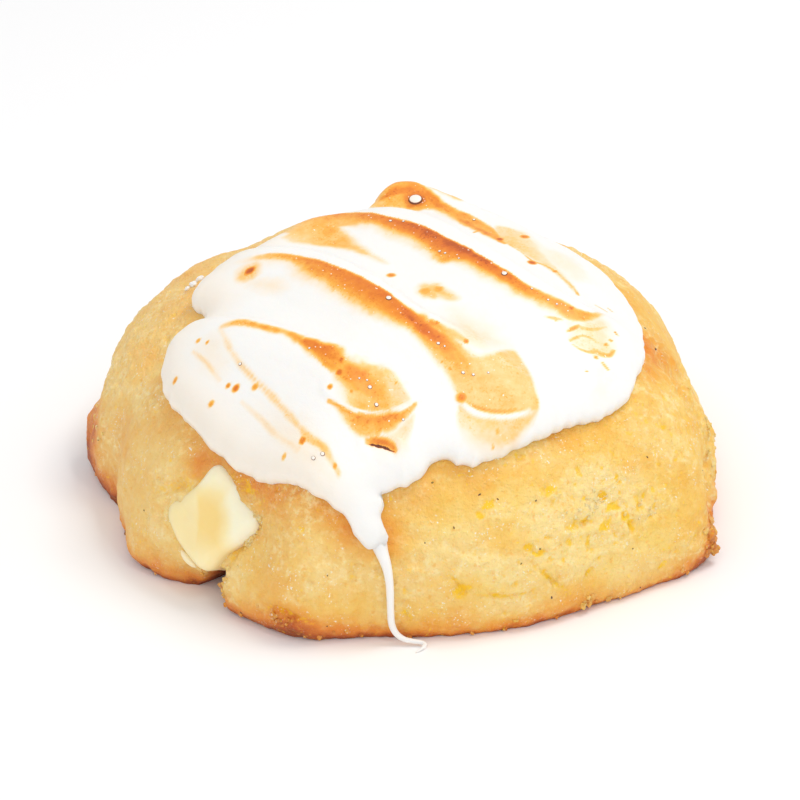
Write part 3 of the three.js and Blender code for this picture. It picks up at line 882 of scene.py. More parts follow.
# Folds where the spoon left a lip, each with how high it stands, and the slit that the torch burnt, dark with
# burn and with painted shade.
FOLDS = (
    (
        ((-9.4, -29.6), (-8.8, -30.2), (-6.8, -31.6), (-4.4, -32.2), (-1.8, -31.8), (0.4, -31.2), (2, -30.4)),
        0.3,
        0.62,
    ),
    (((8.4, -30.2), (9.6, -30.8), (12.2, -31), (14.6, -30.6), (16.6, -29.4)), 0.17, 0.5),
)
SLIT = ((-3.8, -35.1), (-2.8, -35.2), (-1.8, -35.4), (-0.7, -35.7))


def cap_height(plan, from_edge):
    """The meringue's thickness over the dough: a quarter circle in from the edge to its full thickness, which
    is thin on the tongue, swells under the swipes, and steps at the folds."""
    tongue = bell(np.hypot(plan[..., 0] + 4, (plan[..., 1] + 43) * 0.8), 3.2)
    full = MERINGUE_THICKNESS * (1 - 0.4 * tongue) + swipe_height(plan)
    for fold, lip, _ in FOLDS:
        away, side, _, _ = beside_line(plan, fold)
        full += lip * bell(away, 0.5 + 0.8 * ease(side, -0.6, 0.6))
    away, _, _, _ = beside_line(plan, SLIT)
    full += 0.25 * bell(away - 0.9, 0.7) - 0.2 * bell(away, 0.7)
    rise = np.sqrt(1 - (1 - np.clip(from_edge / EDGE_WIDTH, 0, 1)) ** 2)
    return EDGE_BULGE + (full - EDGE_BULGE) * rise


NET_CELLS = 286
NET_PASSES = 250
TUCKED_ROWS = 8
TUCK = 0.5
TUCK_DEPTH = 0.8
# Rows across the hidden underside, as shares of the way from the middle to the edge.
UNDERSIDE_ROWS = (0.7, 0.4, 0.15)


def square_net(cells):
    """The two places, from -1 to 1, of each point of a square net."""
    steps = np.linspace(-1, 1, cells + 1)
    return np.meshgrid(steps, steps, indexing="ij")


def net_faces(number):
    """The four-cornered faces of a net of point numbers."""
    return np.stack([number[:-1, :-1], number[1:, :-1], number[1:, 1:], number[:-1, 1:]], -1).reshape(-1, 4)


def disc_net(cells):
    """Points of a square net pushed out to a unit disc, so that each concentric square becomes a circle."""
    a, b = square_net(cells)
    wide = np.abs(a) > np.abs(b)
    reach = np.where(wide, a, b)
    other = np.where(wide, b, a) / np.where(reach == 0, 1, reach) * np.pi / 4
    turn = np.where(wide, other, np.pi / 2 - other)
    return reach[..., None] * plan_way(turn)


net = disc_net(NET_CELLS)
net_turn = np.arctan2(net[..., 1], net[..., 0])
net_share = np.hypot(net[..., 0], net[..., 1])
# The net's border goes round the edge evenly, half by the way travelled and half by direction. Well inside,
# the net follows a smoothed edge instead, so that the tongue doesn't pull it out of true.
edge_off = edge_line - MERINGUE_MIDDLE
edge_turns = np.unwrap(np.arctan2(edge_off[:, 1], edge_off[:, 0]))
round_share = np.linspace(0, 2 * np.pi, EDGE_POINTS, endpoint=False)
edge_place = 0.5 * np.maximum.accumulate(edge_turns) + 0.5 * (edge_turns[0] + round_share)
KERNEL_REACH = 300
KERNEL_SPREAD = 130
kernel = bell(np.arange(-KERNEL_REACH, KERNEL_REACH + 1), KERNEL_SPREAD)
kernel /= kernel.sum()
edge_places = np.linspace(edge_place[0], edge_place[0] + 2 * np.pi, EDGE_POINTS, endpoint=False)


def at_places(values):
    """Values known round the edge, at even steps of place."""
    return np.interp(edge_places, edge_place, values, period=2 * np.pi)


def smoothed(values):
    """Values round the edge, averaged over a bell of places."""
    return np.convolve(np.pad(values, KERNEL_REACH, mode="wrap"), kernel, "valid")


smooth_reach = smoothed(at_places(np.hypot(edge_off[:, 0], edge_off[:, 1])))
smooth_turn = edge_places + smoothed(at_places(edge_turns - edge_place))
smooth_edge = smooth_reach[:, None] * plan_way(smooth_turn)
true_edge = np.stack([at_places(edge_off[:, 0]), at_places(edge_off[:, 1])], -1)


def at_turn(values):
    """Values at even places of the edge, for each point of the net."""
    return np.interp(net_turn, edge_places, values, period=2 * np.pi)


def relaxed(net, passes):
    """A net with its border kept and its inside evened out, so that no cell folds over at the tongue. Each
    pass moves every point to the mean of the four round it, the pair along one way of the net weighted by
    the square of the spacing along the other way, less a term for how askew the two ways are."""
    for _ in range(passes):
        down = (net[2:, 1:-1] - net[:-2, 1:-1]) / 2
        across = (net[1:-1, 2:] - net[1:-1, :-2]) / 2
        pairs = ((across, across), (down, down), (down, across))
        wide, high, askew = ((a * b).sum(-1, keepdims=True) for a, b in pairs)
        corners = (net[2:, 2:] - net[2:, :-2] - net[:-2, 2:] + net[:-2, :-2]) / 4
        upright = wide * (net[2:, 1:-1] + net[:-2, 1:-1]) + high * (net[1:-1, 2:] + net[1:-1, :-2])
        net[1:-1, 1:-1] = (upright - 2 * askew * corners) / (2 * (wide + high))
    return net


trueness = ease(net_share, 0.45, 1)
spokes = [at_turn(smooth_edge[:, k]) * (1 - trueness) + at_turn(true_edge[:, k]) * trueness for k in (0, 1)]
cap_plan = relaxed(MERINGUE_MIDDLE + net_share[..., None] * np.stack(spokes, -1), NET_PASSES)
cap_base, cap_out = dome_over(cap_plan)
from_edge = edge_distance(cap_base.reshape(-1, 3), dome_over(edge_line)[0]).reshape(net_share.shape)
from_edge = np.where(net_share > 1 - 1e-6, 0, from_edge)
along_swipes = np.stack([cap_plan @ (0.7, -0.7), cap_plan @ (0.7, 0.7), 0 * net_share], -1)
cap_lift = cap_height(cap_plan, from_edge)
cap_lift += 0.05 * ease(from_edge, 4, 9) * unevenness(along_swipes, 1.3, 21, (5, 1, 1))
cap_lift += 0.15 * ease(from_edge, 1, 4) * unevenness(along_swipes, 4, 22, (2.5, 1, 1))
cap = cap_base + cap_out * cap_lift[..., None]
cap[..., 2] = np.minimum(cap[..., 2], footprint_high[2])

# Round the net's border, anticlockwise, and from it rows that tuck under and run into the dough.
number = np.arange(net_share.size).reshape(net_share.shape)
border = np.concatenate([number[-1, :-1], number[:0:-1, -1], number[0, :0:-1], number[:-1, 0]])
edge_plan = cap_plan.reshape(-1, 2)[border]
inward = left_of(way_round(edge_plan))
tucked = []
for down in np.linspace(0, 1, TUCKED_ROWS + 1)[1:]:
    base, out = dome_over(edge_plan + inward * TUCK * (1 - np.sqrt(1 - down**2)))
    tucked.append(base + out * (EDGE_BULGE * (1 - down) - TUCK_DEPTH * down))
inner_edge = edge_plan + inward * TUCK - MERINGUE_MIDDLE
for share in UNDERSIDE_ROWS:
    base, out = dome_over(MERINGUE_MIDDLE + inner_edge * share)
    tucked.append(base - out * TUCK_DEPTH)
middle_base, middle_out = dome_over(MERINGUE_MIDDLE)
points = np.concatenate([cap.reshape(-1, 3), *tucked, [middle_base - middle_out * TUCK_DEPTH]])
rows = np.concatenate([[border], number.size + np.arange(len(tucked) * len(border)).reshape(-1, len(border))])
faces = [net_faces(number), walls(rows[1:], rows[:-1]), fan(rows[-1], len(points) - 1, face_up=False)]

# Where the torch browned it: outlines on the plan, anticlockwise or not, each corner with how brown it is
# there and over how many mm it fades in.
PATCHES = (
    # the first swipe's crest and the fan that it ends in
    (
        (-12.9, -20.1, 0.6, 0.5), (-11, -21, 0.6, 0.4), (-8.7, -23.7, 0.56, 0.5), (-6.7, -25.4, 0.48, 0.8),
        (-4.2, -26, 0.28, 1.1), (-1.5, -26, 0.28, 0.8), (0.1, -27.6, 0.26, 0.6), (1.2, -29.4, 0.22, 0.6),
        (1.8, -30.7, 0.2, 0.6), (0.3, -31.3, 0.28, 0.4), (-1.3, -31.7, 0.36, 0.3), (-3.6, -31.9, 0.44, 0.25),
        (-5.8, -31.9, 0.4, 0.4), (-7.4, -31.1, 0.18, 1.2), (-8, -29.5, 0.2, 1.5), (-7.9, -28.1, 0.42, 0.8),
        (-8.8, -27, 0.5, 0.6), (-10.2, -25, 0.56, 0.6), (-11.8, -22.4, 0.58, 0.5), (-13, -20.8, 0.58, 0.5),
    ),
    # below its fold: the left lobe, the dark wedge and the pale right
    (
        (-9.2, -30.5, 0.3, 0.3), (-7.4, -31.7, 0.42, 0.3), (-5.3, -32.4, 0.48, 0.3), (-3.3, -32.3, 0.5, 0.4),
        (-2.4, -32.8, 0.5, 0.4), (-2.9, -34.4, 0.46, 0.6), (-4.3, -34.9, 0.4, 0.6), (-5.7, -34.5, 0.4, 0.7),
        (-6.8, -33.6, 0.4, 0.8), (-7.7, -32.5, 0.36, 0.8), (-8.7, -31.3, 0.3, 0.5),
    ),
    (
        (-5.9, -32.3, 0.46, 0.3), (-4, -32.3, 0.52, 0.25), (-1.7, -32.1, 0.54, 0.25), (0.4, -31.7, 0.5, 0.25),
        (2.2, -30.6, 0.44, 0.3), (1.8, -31.7, 0.4, 0.4), (0.2, -32.9, 0.48, 0.4), (-1.5, -33.7, 0.5, 0.4),
        (-2.4, -34.5, 0.48, 0.5), (-3, -34.6, 0.46, 0.5), (-3.8, -33.7, 0.46, 0.5), (-4.7, -32.9, 0.44, 0.5),
    ),
    (
        (-2, -34.1, 0.2, 0.7), (0.2, -33, 0.2, 0.6), (1.9, -31.8, 0.24, 0.4), (1.8, -33.5, 0.22, 0.5),
        (1.4, -34.9, 0.2, 0.7), (1.1, -35.9, 0.18, 1), (-0.3, -36.6, 0.14, 1.6), (-2.4, -36.3, 0.12, 1.6),
        (-3.4, -35.7, 0.14, 1), (-4, -34.8, 0.22, 0.6),
    ),
    # the second swipe's crest
    (
        (-22.6, 3.4, 0.12, 1.2), (-20.4, 3, 0.22, 1), (-18.5, 2.5, 0.34, 0.5), (-16, 1.3, 0.5, 0.4),
        (-13.8, -0.2, 0.6, 0.35), (-11.5, -2, 0.66, 0.35), (-9.5, -4.3, 0.68, 0.35), (-7.3, -6.7, 0.7, 0.35),
        (-5.1, -8.9, 0.72, 0.35), (-3.2, -11.4, 0.74, 0.35), (-1.4, -13.3, 0.74, 0.35),
        (0, -14.9, 0.74, 0.35), (1.6, -16.6, 0.72, 0.4), (3.2, -18.1, 0.72, 0.5), (4.7, -19.5, 0.7, 0.5),
        (6.3, -21.1, 0.64, 0.7), (7.3, -22.7, 0.54, 1), (6.8, -24.4, 0.44, 1.4), (5.7, -25.5, 0.4, 1.2),
        (4.7, -24.5, 0.44, 1), (3.6, -23, 0.46, 0.9), (2.3, -21.5, 0.46, 0.9), (1, -20.1, 0.48, 1),
        (-0.7, -19.1, 0.48, 1.2), (-2.5, -17.9, 0.48, 1.4), (-4.6, -16.5, 0.48, 1.5),
        (-6.5, -14.4, 0.46, 1.6), (-8.5, -12.1, 0.44, 1.8), (-10.4, -9.9, 0.42, 1.8),
        (-12.3, -7.4, 0.38, 1.8), (-14.1, -5, 0.34, 1.8), (-15.1, -2, 0.28, 1.8), (-17, -1, 0.2, 1.8),
        (-19.2, 0.1, 0.12, 1.8), (-21.5, 1.3, 0.08, 1.5),
    ),
    # the fan that it ends in, above and below its fold, and the haze behind it
    (
        (4.7, -20.1, 0.6, 0.5), (6.6, -21.2, 0.5, 0.8), (8.3, -22.3, 0.34, 0.9), (9.9, -22.8, 0.28, 1),
        (11.6, -22.5, 0.3, 0.8), (13.6, -20.9, 0.3, 0.7), (15.1, -20.4, 0.3, 0.6), (16.2, -22, 0.3, 0.5),
        (17.1, -24.3, 0.32, 0.5), (17.7, -26.4, 0.32, 0.45), (17.9, -27.9, 0.32, 0.4),
        (17.7, -29.1, 0.3, 0.3), (15.7, -30, 0.34, 0.3), (13.8, -30.5, 0.38, 0.25), (11.8, -31, 0.38, 0.25),
        (9.9, -30.8, 0.36, 0.3), (8.4, -30.2, 0.32, 0.4), (7.5, -29.4, 0.32, 0.5), (6.7, -28, 0.3, 0.8),
        (5.7, -26, 0.34, 0.9), (4.7, -23.7, 0.44, 0.8), (4, -22, 0.55, 0.6),
    ),
    (
        (7.6, -30.1, 0.24, 0.5), (9, -31, 0.26, 0.4), (10.7, -31.4, 0.28, 0.4), (13, -31.2, 0.3, 0.4),
        (15.2, -30.4, 0.3, 0.4), (17.7, -28.7, 0.28, 0.4), (17.5, -30, 0.28, 0.6), (16.7, -31.4, 0.28, 0.7),
        (15.8, -32.6, 0.27, 0.8), (14.7, -33.5, 0.26, 0.9), (13.1, -34.5, 0.24, 1), (11.4, -35, 0.22, 1.2),
        (9.7, -35.1, 0.2, 1.8), (8.6, -34.6, 0.2, 1.4), (7.9, -33.6, 0.22, 0.8), (7.3, -32.2, 0.22, 0.6),
    ),
    (
        (5.3, -18, 0.16, 3), (6.2, -13, 0.14, 3), (8.3, -13, 0.14, 3), (11.2, -14.8, 0.14, 3),
        (13.8, -17.5, 0.14, 3), (14.7, -19.9, 0.16, 3), (11.6, -22.6, 0.2, 1.5), (8.5, -22.3, 0.2, 1.5),
        (6.5, -20.5, 0.2, 1.5),
    ),
    # the third swipe's crest, the darkest, and its side branch
    (
        (-16.6, 11, 0.3, 0.8), (-15.4, 13.4, 0.42, 0.6), (-12.6, 15.9, 0.5, 0.4), (-9.2, 16.4, 0.56, 0.4),
        (-6.6, 15, 0.6, 0.35), (-4.1, 13.2, 0.64, 0.35), (-1.9, 11, 0.72, 0.35), (0.3, 9.4, 0.8, 0.35),
        (2.4, 7.6, 0.84, 0.35), (4.3, 5.7, 0.86, 0.35), (6.1, 3.3, 0.88, 0.35), (8, 1.1, 0.9, 0.35),
        (9.6, -0.8, 0.9, 0.35), (11.4, -3.1, 0.86, 0.35), (13.2, -5.1, 0.78, 0.35), (14.9, -6.7, 0.72, 0.35),
        (16.5, -8.5, 0.68, 0.35), (18.3, -9.7, 0.62, 0.6), (20, -10.6, 0.58, 0.6), (21.9, -11.4, 0.56, 0.6),
        (23.7, -11.9, 0.52, 0.6), (25.3, -11.7, 0.48, 0.6), (27.4, -9.4, 0.26, 0.8), (26.8, -12.1, 0.3, 0.8),
        (25, -13.9, 0.44, 0.8), (23.3, -14.5, 0.46, 0.6), (21.6, -14.2, 0.46, 0.7), (19.7, -13.5, 0.46, 1.2),
        (18, -12.5, 0.46, 1.4), (15.9, -11.2, 0.48, 1.5), (14.1, -9.8, 0.5, 1.6), (12.1, -8.2, 0.5, 1.6),
        (10.3, -6.4, 0.52, 1.6), (8.6, -4.6, 0.52, 1.4), (7.3, -3.4, 0.5, 0.9), (6.1, -3.4, 0.48, 0.9),
        (4.8, -2.6, 0.48, 1), (3.7, -0.3, 0.48, 1.4), (2, 2, 0.46, 1.6), (0.3, 3.8, 0.44, 1.8),
        (-1.3, 5.5, 0.42, 1.8), (-3.2, 7.7, 0.38, 1.8), (-4.9, 9.1, 0.34, 1.6), (-6.6, 10.3, 0.34, 1),
        (-8.2, 10.8, 0.4, 0.8), (-9.9, 10.7, 0.4, 0.8), (-11.6, 9.8, 0.36, 0.8), (-13, 8.4, 0.3, 0.8),
    ),
    (
        (-15.4, 10.4, 0.3, 0.8), (-12.4, 12.2, 0.44, 0.5), (-8.7, 12, 0.46, 1), (-7, 8.7, 0.46, 1.2),
        (-5.6, 5.7, 0.42, 1.1), (-3.8, 2.5, 0.34, 0.9), (-1.5, -1, 0.18, 0.8), (-2.2, -1.4, 0.18, 0.8),
        (-4.3, 0.6, 0.32, 1), (-6.2, 2.6, 0.38, 0.9), (-8.1, 4.3, 0.42, 0.8), (-10, 5.3, 0.42, 0.8),
        (-12.2, 5.9, 0.34, 0.9), (-15, 7.2, 0.26, 0.9), (-16.8, 9, 0.2, 0.9),
    ),
    # the last swipe, along the back, and the pale patch at its end
    (
        (-4.2, 20.2, 0.36, 0.6), (-4.4, 22.8, 0.4, 0.5), (-3.2, 25.6, 0.44, 0.5), (-0.6, 26.4, 0.5, 0.5),
        (1.6, 25, 0.56, 0.5), (3.4, 23.6, 0.6, 0.5), (4.6, 22.4, 0.6, 0.4), (5.6, 21, 0.58, 0.4),
        (6.8, 19.6, 0.56, 0.5), (8.2, 18.2, 0.54, 0.5), (9.8, 16.9, 0.54, 0.5), (11.4, 15, 0.54, 0.5),
        (12.7, 13.1, 0.54, 0.5), (13.7, 11.1, 0.54, 0.5), (14.5, 8.7, 0.52, 0.6), (13.6, 7.8, 0.5, 0.6),
        (12.2, 8.8, 0.44, 0.9), (10.6, 11.2, 0.42, 1), (8.9, 13.2, 0.4, 1), (7, 15.5, 0.38, 1),
        (5.4, 17.7, 0.34, 1), (3.9, 19, 0.46, 0.7), (2.5, 18.8, 0.5, 0.7), (0.9, 19.3, 0.48, 0.7),
        (-0.6, 19.8, 0.42, 0.8), (-2.4, 19.5, 0.36, 0.8),
    ),
    (
        (13.2, 12.7, 0.22, 0.6), (14.8, 12.9, 0.24, 0.6), (16.5, 12, 0.24, 0.8), (18.1, 10.8, 0.2, 1),
        (19.9, 7.4, 0.16, 1.2), (21.4, 3.9, 0.14, 1.4), (22.7, 0.7, 0.14, 1.4), (23.9, -3.8, 0.18, 0.8),
        (24, -5.7, 0.2, 0.5), (23, -4.1, 0.24, 0.5), (21.8, -1.6, 0.24, 0.5), (20.2, 0.6, 0.24, 0.5),
        (18.7, 2.4, 0.26, 0.5), (17.2, 4.2, 0.28, 0.5), (15.6, 6.2, 0.3, 0.5), (14, 7.9, 0.34, 0.5),
    ),
    # haze round the brushed rows beyond the third crest's end, and below them
    (
        (20.6, -14.3, 0.12, 1.8), (23.7, -13.6, 0.3, 1.4), (26.4, -11.6, 0.26, 1.4), (28, -12.4, 0.16, 1.2),
        (28.4, -15.6, 0.16, 1.2), (28.4, -17.6, 0.26, 1), (26.6, -18.7, 0.28, 0.8), (24.1, -18.5, 0.2, 0.6),
        (22.3, -17.5, 0.2, 0.6), (21.6, -15.8, 0.12, 1.2),
    ),
    (
        (24.6, -19.6, 0.06, 2), (27.6, -18.8, 0.12, 2), (28, -20.8, 0.12, 2), (26.6, -24, 0.1, 2),
        (24.4, -24.6, 0.06, 2),
    ),
    # haze over the left lobe, down its front, and above the tongue
    (
        (-27.4, -14.6, 0.08, 2), (-24, -13.6, 0.1, 2), (-21.6, -17, 0.1, 2), (-22.6, -22.6, 0.08, 2),
        (-26.4, -20.4, 0.06, 2),
    ),
    (
        (-19, -26, 0.05, 2.4), (-14, -29, 0.1, 2.4), (-9, -36, 0.15, 2.4), (-7.6, -39.6, 0.14, 2),
        (-11.4, -39.6, 0.12, 2), (-16, -35.4, 0.1, 2.4),
    ),
    # faint patches behind the left end of the second crest
    (
        (-23, 0.4, 0.12, 1.5), (-20, -1.4, 0.16, 1.5), (-15.6, -4.4, 0.16, 1.5), (-14.8, -7.4, 0.14, 1.5),
        (-18.4, -6.8, 0.12, 1.5),
    ),
)
# Thin streaks: each corner's place on the plan, half width in mm and how brown.
STROKES = (
    # the first crest, from the rear left
    (
        (-22.8, -13.6, 0.7, 0.25), (-21, -14, 0.8, 0.42), (-18.4, -15.8, 0.75, 0.48),
        (-15.8, -17.6, 0.75, 0.5), (-14, -18.8, 0.8, 0.46), (-12.6, -20.2, 1, 0.56),
    ),
    # darker streaks along the crests and in the fans
    ((-12, -20.9, 1, 0.66), (-10.2, -22.6, 1.6, 0.7), (-8.6, -24.6, 1.8, 0.66), (-7.4, -26, 1.2, 0.6)),
    ((-6.4, -27, 2.4, 0.58), (-4.6, -28.2, 3.4, 0.55), (-3, -29.3, 3.6, 0.5), (-2.6, -30.8, 3, 0.44)),
    (
        (0.4, -16.6, 1.2, 0.74), (2, -18.4, 1.6, 0.8), (3.8, -20.2, 1.6, 0.78), (5.4, -22, 1.8, 0.66),
        (6.4, -24, 1.8, 0.5),
    ),
    (
        (4.1, -18.8, 0.8, 0.6), (5.2, -19.5, 1, 0.48), (6.6, -20.3, 1.1, 0.36), (7.8, -20.9, 0.9, 0.3),
        (8.6, -21.3, 0.6, 0.34),
    ),
    (
        (5.2, -21.6, 1.8, 0.62), (6.8, -23.2, 2.4, 0.52), (8, -24.8, 2.4, 0.46), (8.8, -26.6, 2.2, 0.4),
        (9, -28.4, 1.4, 0.36),
    ),
    (
        (8.7, -29.9, 0.35, 0.44), (10.4, -30.5, 0.45, 0.58), (12.4, -30.5, 0.5, 0.6), (14.4, -30, 0.45, 0.52),
        (16, -29.4, 0.3, 0.38),
    ),
    (
        (-9, -30.8, 0.3, 0.4), (-6.6, -32.2, 0.35, 0.56), (-4.2, -32.8, 0.4, 0.6), (-1.8, -32.4, 0.4, 0.62),
        (0.6, -31.8, 0.35, 0.58), (2.1, -30.9, 0.25, 0.4),
    ),
    ((-3, -33, 1.2, 0.48), (-1.6, -33, 1.2, 0.5), (-0.2, -32.5, 0.9, 0.46)),
    # the slit
    (
        (-4, -35, 0.4, 0.4), (-3.2, -34.9, 0.55, 0.62), (-1.9, -35, 0.6, 0.7), (-0.9, -35.3, 0.6, 0.66),
        (-0.4, -35.7, 0.4, 0.5),
    ),
    # the broken line at the foot of the last swipe
    ((14, 7.9, 0.6, 0.6), (14.6, 7.2, 0.4, 0.46)),
    (
        (15.3, 6.8, 0.3, 0.46), (16.9, 4.7, 0.25, 0.4), (18.1, 2.7, 0.35, 0.46), (19.9, 1.6, 0.3, 0.4),
        (21.3, 0.3, 0.35, 0.42), (22.5, -1.8, 0.5, 0.34), (23.5, -3.7, 0.45, 0.34), (24.1, -5.5, 0.3, 0.46),
    ),
    ((10.4, 10.2, 0.3, 0.46), (11.2, 11.2, 0.4, 0.64), (12, 11.8, 0.35, 0.56)),
    # darker specks and streaks along the last swipe
    ((3.9, 22, 1, 0.66), (5.4, 20, 1, 0.64), (6.8, 18, 0.8, 0.58)),
    ((8.6, 15.4, 1.1, 0.6), (10.4, 12.8, 1.3, 0.62), (12.4, 10.2, 1.2, 0.6), (13.9, 8.4, 0.7, 0.5)),
    # hazes beside the last two crests
    ((19.5, 5.5, 2.5, 0.1), (22, 3.6, 3, 0.14), (24, 0.5, 2.5, 0.1)),
    ((3.6, -8.2, 1.5, 0.3), (5.4, -9.6, 1.6, 0.36), (7.2, -11.2, 1.2, 0.26)),
    # the last crest's head
    ((-2.4, 21.9, 1, 0.6), (0.1, 22.6, 1.3, 0.66), (2.6, 22.4, 1.2, 0.72)),
    # a scrap behind the last swipe
    ((4.6, 23.6, 0.7, 0.24), (6.2, 22.8, 1.1, 0.34), (8.4, 20.6, 0.8, 0.3)),
    # brushed rows beyond the third crest's end
    ((19.2, -14.2, 0.3, 0.2), (20.2, -14.3, 0.4, 0.36), (21.4, -14.4, 0.3, 0.24)),
    ((22, -16, 0.3, 0.3), (22.7, -15.5, 0.42, 0.56), (23.5, -14.9, 0.3, 0.4)),
    ((23.4, -15, 0.3, 0.3), (25, -15, 0.4, 0.36), (26.3, -14.3, 0.4, 0.34), (27.3, -13.5, 0.3, 0.24)),
    (
        (22.4, -17.3, 0.4, 0.42), (23.2, -16.7, 0.4, 0.42), (24.1, -16.2, 0.35, 0.38),
        (25.2, -16.3, 0.35, 0.38), (26, -16.8, 0.3, 0.26),
    ),
    ((22.6, -17.8, 0.2, 0.34), (23.7, -18.3, 0.25, 0.4), (24.7, -18.4, 0.3, 0.4), (25.6, -18.1, 0.5, 0.42)),
    ((25.6, -17.9, 0.5, 0.4), (26.5, -18.2, 0.55, 0.48), (27.5, -18.1, 0.5, 0.5), (28.1, -17.2, 0.35, 0.46)),
    ((26.5, -19.4, 0.25, 0.5), (27.2, -20.2, 0.3, 0.46)),
    ((28.3, -13.8, 0.18, 0.6), (28.7, -14.4, 0.18, 0.56)),
    ((26.3, -7.1, 0.16, 0.36), (27.2, -7.6, 0.18, 0.42), (27.8, -8, 0.15, 0.34)),
    ((28, -6.7, 0.16, 0.46), (28.6, -7.3, 0.18, 0.5)),
    # pale streaks down the left lobe
    (
        (-23, -14.2, 0.5, 0.14), (-21.6, -18.3, 0.6, 0.2), (-19.6, -22, 0.6, 0.24), (-16, -27.1, 0.65, 0.26),
        (-13.8, -30.9, 0.65, 0.26), (-11.8, -34.2, 0.7, 0.3), (-9.4, -36.3, 0.7, 0.32),
        (-7.7, -38.3, 0.6, 0.25),
    ),
    ((-20.2, -25.7, 0.4, 0.12), (-17.6, -29, 0.5, 0.18), (-15.5, -32.2, 0.7, 0.2), (-12.9, -35.3, 0.9, 0.18)),
    ((-26.7, -15.1, 0.4, 0.18), (-24.9, -18.2, 0.5, 0.24), (-23.2, -21.5, 0.5, 0.14)),
)
# Single spots: plan, radius and how brown.
SPOTS = (
    (-20.2, -0.2, 0.9, 0.86), (-20.4, -0.4, 2.2, 0.3), (-1.2, -4.7, 0.75, 0.66), (4.2, -9.2, 2.2, 0.36),
    (3.6, -9.3, 1.4, 0.46), (5.1, -9, 1.2, 0.52), (8, -29.3, 0.9, 0.62), (8, -29.3, 0.3, 0.74),
    (-29.2, -17.6, 0.5, 0.55), (-26, -13.8, 0.4, 0.5), (-24.8, -15, 0.35, 0.6), (-22, -22.8, 0.4, 0.6),
    (-21, -23.6, 0.6, 0.76), (-18.4, -24.6, 0.55, 0.5), (-24.2, -24, 0.55, 0.55), (-12.3, -34.6, 0.5, 0.66),
    (-14.6, -35.2, 0.4, 0.5), (-8.8, -29.1, 0.45, 0.62), (-8.1, -37.8, 0.4, 0.56), (-3.7, -28.8, 2.6, 0.5),
    (-7.4, -25.6, 0.5, 0.8), (-7.6, -27.3, 0.6, 0.82), (-0.4, -28.3, 0.25, 0.6), (-6.1, -29.9, 0.25, 0.62),
    (-5.2, -29.4, 0.2, 0.62), (14, 8.5, 0.6, 0.84), (17.4, 9.8, 0.75, 0.62), (18.2, 1.9, 0.7, 0.78),
    (21.2, 0.3, 0.45, 0.6), (22.6, -12.3, 0.45, 0.8), (8.6, -21.4, 0.45, 0.68), (5, -21, 0.45, 0.8),
    (2.3, 21.3, 2.4, 0.74), (4.9, -18.8, 0.35, 0.7), (5.5, -24.6, 0.3, 0.58), (6.5, -25.5, 0.35, 0.56),
    (12.5, -32.6, 0.4, 0.44), (12, -34.2, 0.35, 0.4), (20.6, -14.6, 0.25, 0.4), (27.8, -15.7, 0.3, 0.56),
    (27.1, -16.6, 0.35, 0.6), (25.7, -18.9, 0.35, 0.56), (24.4, -21.3, 0.25, 0.46),
)


def inside_line(points, line):
    """Whether each point is inside a closed line: a ray to its right crosses it an odd number of times."""
    (x, y), (a, b), (c, d) = points.T[..., None], line.T, np.roll(line, -1, 0).T
    rise = np.where(d == b, 1e-9, d - b)
    return np.sum(((b > y) != (d > y)) & (x < a + (c - a) * (y - b) / rise), 1) % 2 == 1


STEPS_A_CORNER = 8
# A patch's fading reaches no further than this past its corners.
FADE_ROOM = 2


def patch_brown(points, corners, waver):
    """How brown a patch leaves points: the brownness and the fading width of its outline, each blended by the
    inverse cube of the distance to it, and faded in from the outline, which wavers."""
    outline = smooth_line(corners, STEPS_A_CORNER * len(corners), closed=True)
    brown = np.zeros(len(points))
    low, high = outline[:, :2].min(0) - FADE_ROOM, outline[:, :2].max(0) + FADE_ROOM
    near = np.flatnonzero(np.all((points > low) & (points < high), 1))
    for block in np.array_split(near, 1 + len(near) // POINTS_AT_ONCE):
        gaps = np.linalg.norm(points[block][:, None] - outline[:, :2], axis=-1)
        nearness = 1 / (gaps + 0.1) ** 3
        strength, fade = (nearness @ outline[:, 2:]).T / nearness.sum(1)
        depth = gaps.min(1) * np.where(inside_line(points[block], outline[:, :2]), 1, -1)
        fade = fade * (1 + 0.6 * ease(fade, 0.6, 1.2))
        share = (depth + waver[block] * (0.12 + 0.22 * fade) + 0.35 * fade + 0.1) / (1.3 * fade + 0.15)
        brown[block] = strength * ease(share, 0, 1)
    return brown


def toasting(plan):
    """How brown the torch left each point of the plan, 0 to 1: the strongest of the patches, the streaks,
    which fade across their width with a wavering edge, and the spots. Folds stay pale."""
    points = plan.reshape(-1, 2)
    waver = 0.6 * unevenness(levelled(points), 2.2, 31) + 0.35 * unevenness(levelled(points), 0.9, 32)
    brown = np.zeros(len(points))
    for corners in PATCHES:
        brown = np.maximum(brown, patch_brown(points, corners, waver))
    for corners in STROKES:
        away, _, _, extra = beside_line(points, corners)
        width, strength = extra.T
        brown = np.maximum(brown, strength * (1 - ease(away / width + 0.4 * waver, 0.1, 1.2)))
    for fold, _, paling in FOLDS:
        away, side, _, _ = beside_line(points, fold)
        brown *= 1 - paling * bell(away, 0.15 + 0.08 * ease(side, -0.5, 0.5))
    for x, y, radius, strength in SPOTS:
        away = np.hypot(points[:, 0] - x, points[:, 1] - y) / radius
        brown = np.maximum(brown, strength * (1 - ease(away + 0.3 * waver, 0.35, 1.25)))
    return brown.reshape(plan.shape[:-1])


# The skirt, low at the left, is painted creamier than the rest: painted warm light, bounced up from the dough.
bounce_lit_skirt = (1 - ease(from_edge, 1, 9)) * (1 - ease(cap_plan[..., 0], -11, -4))
toast = np.maximum(toasting(cap_plan), 0.08 * bounce_lit_skirt)

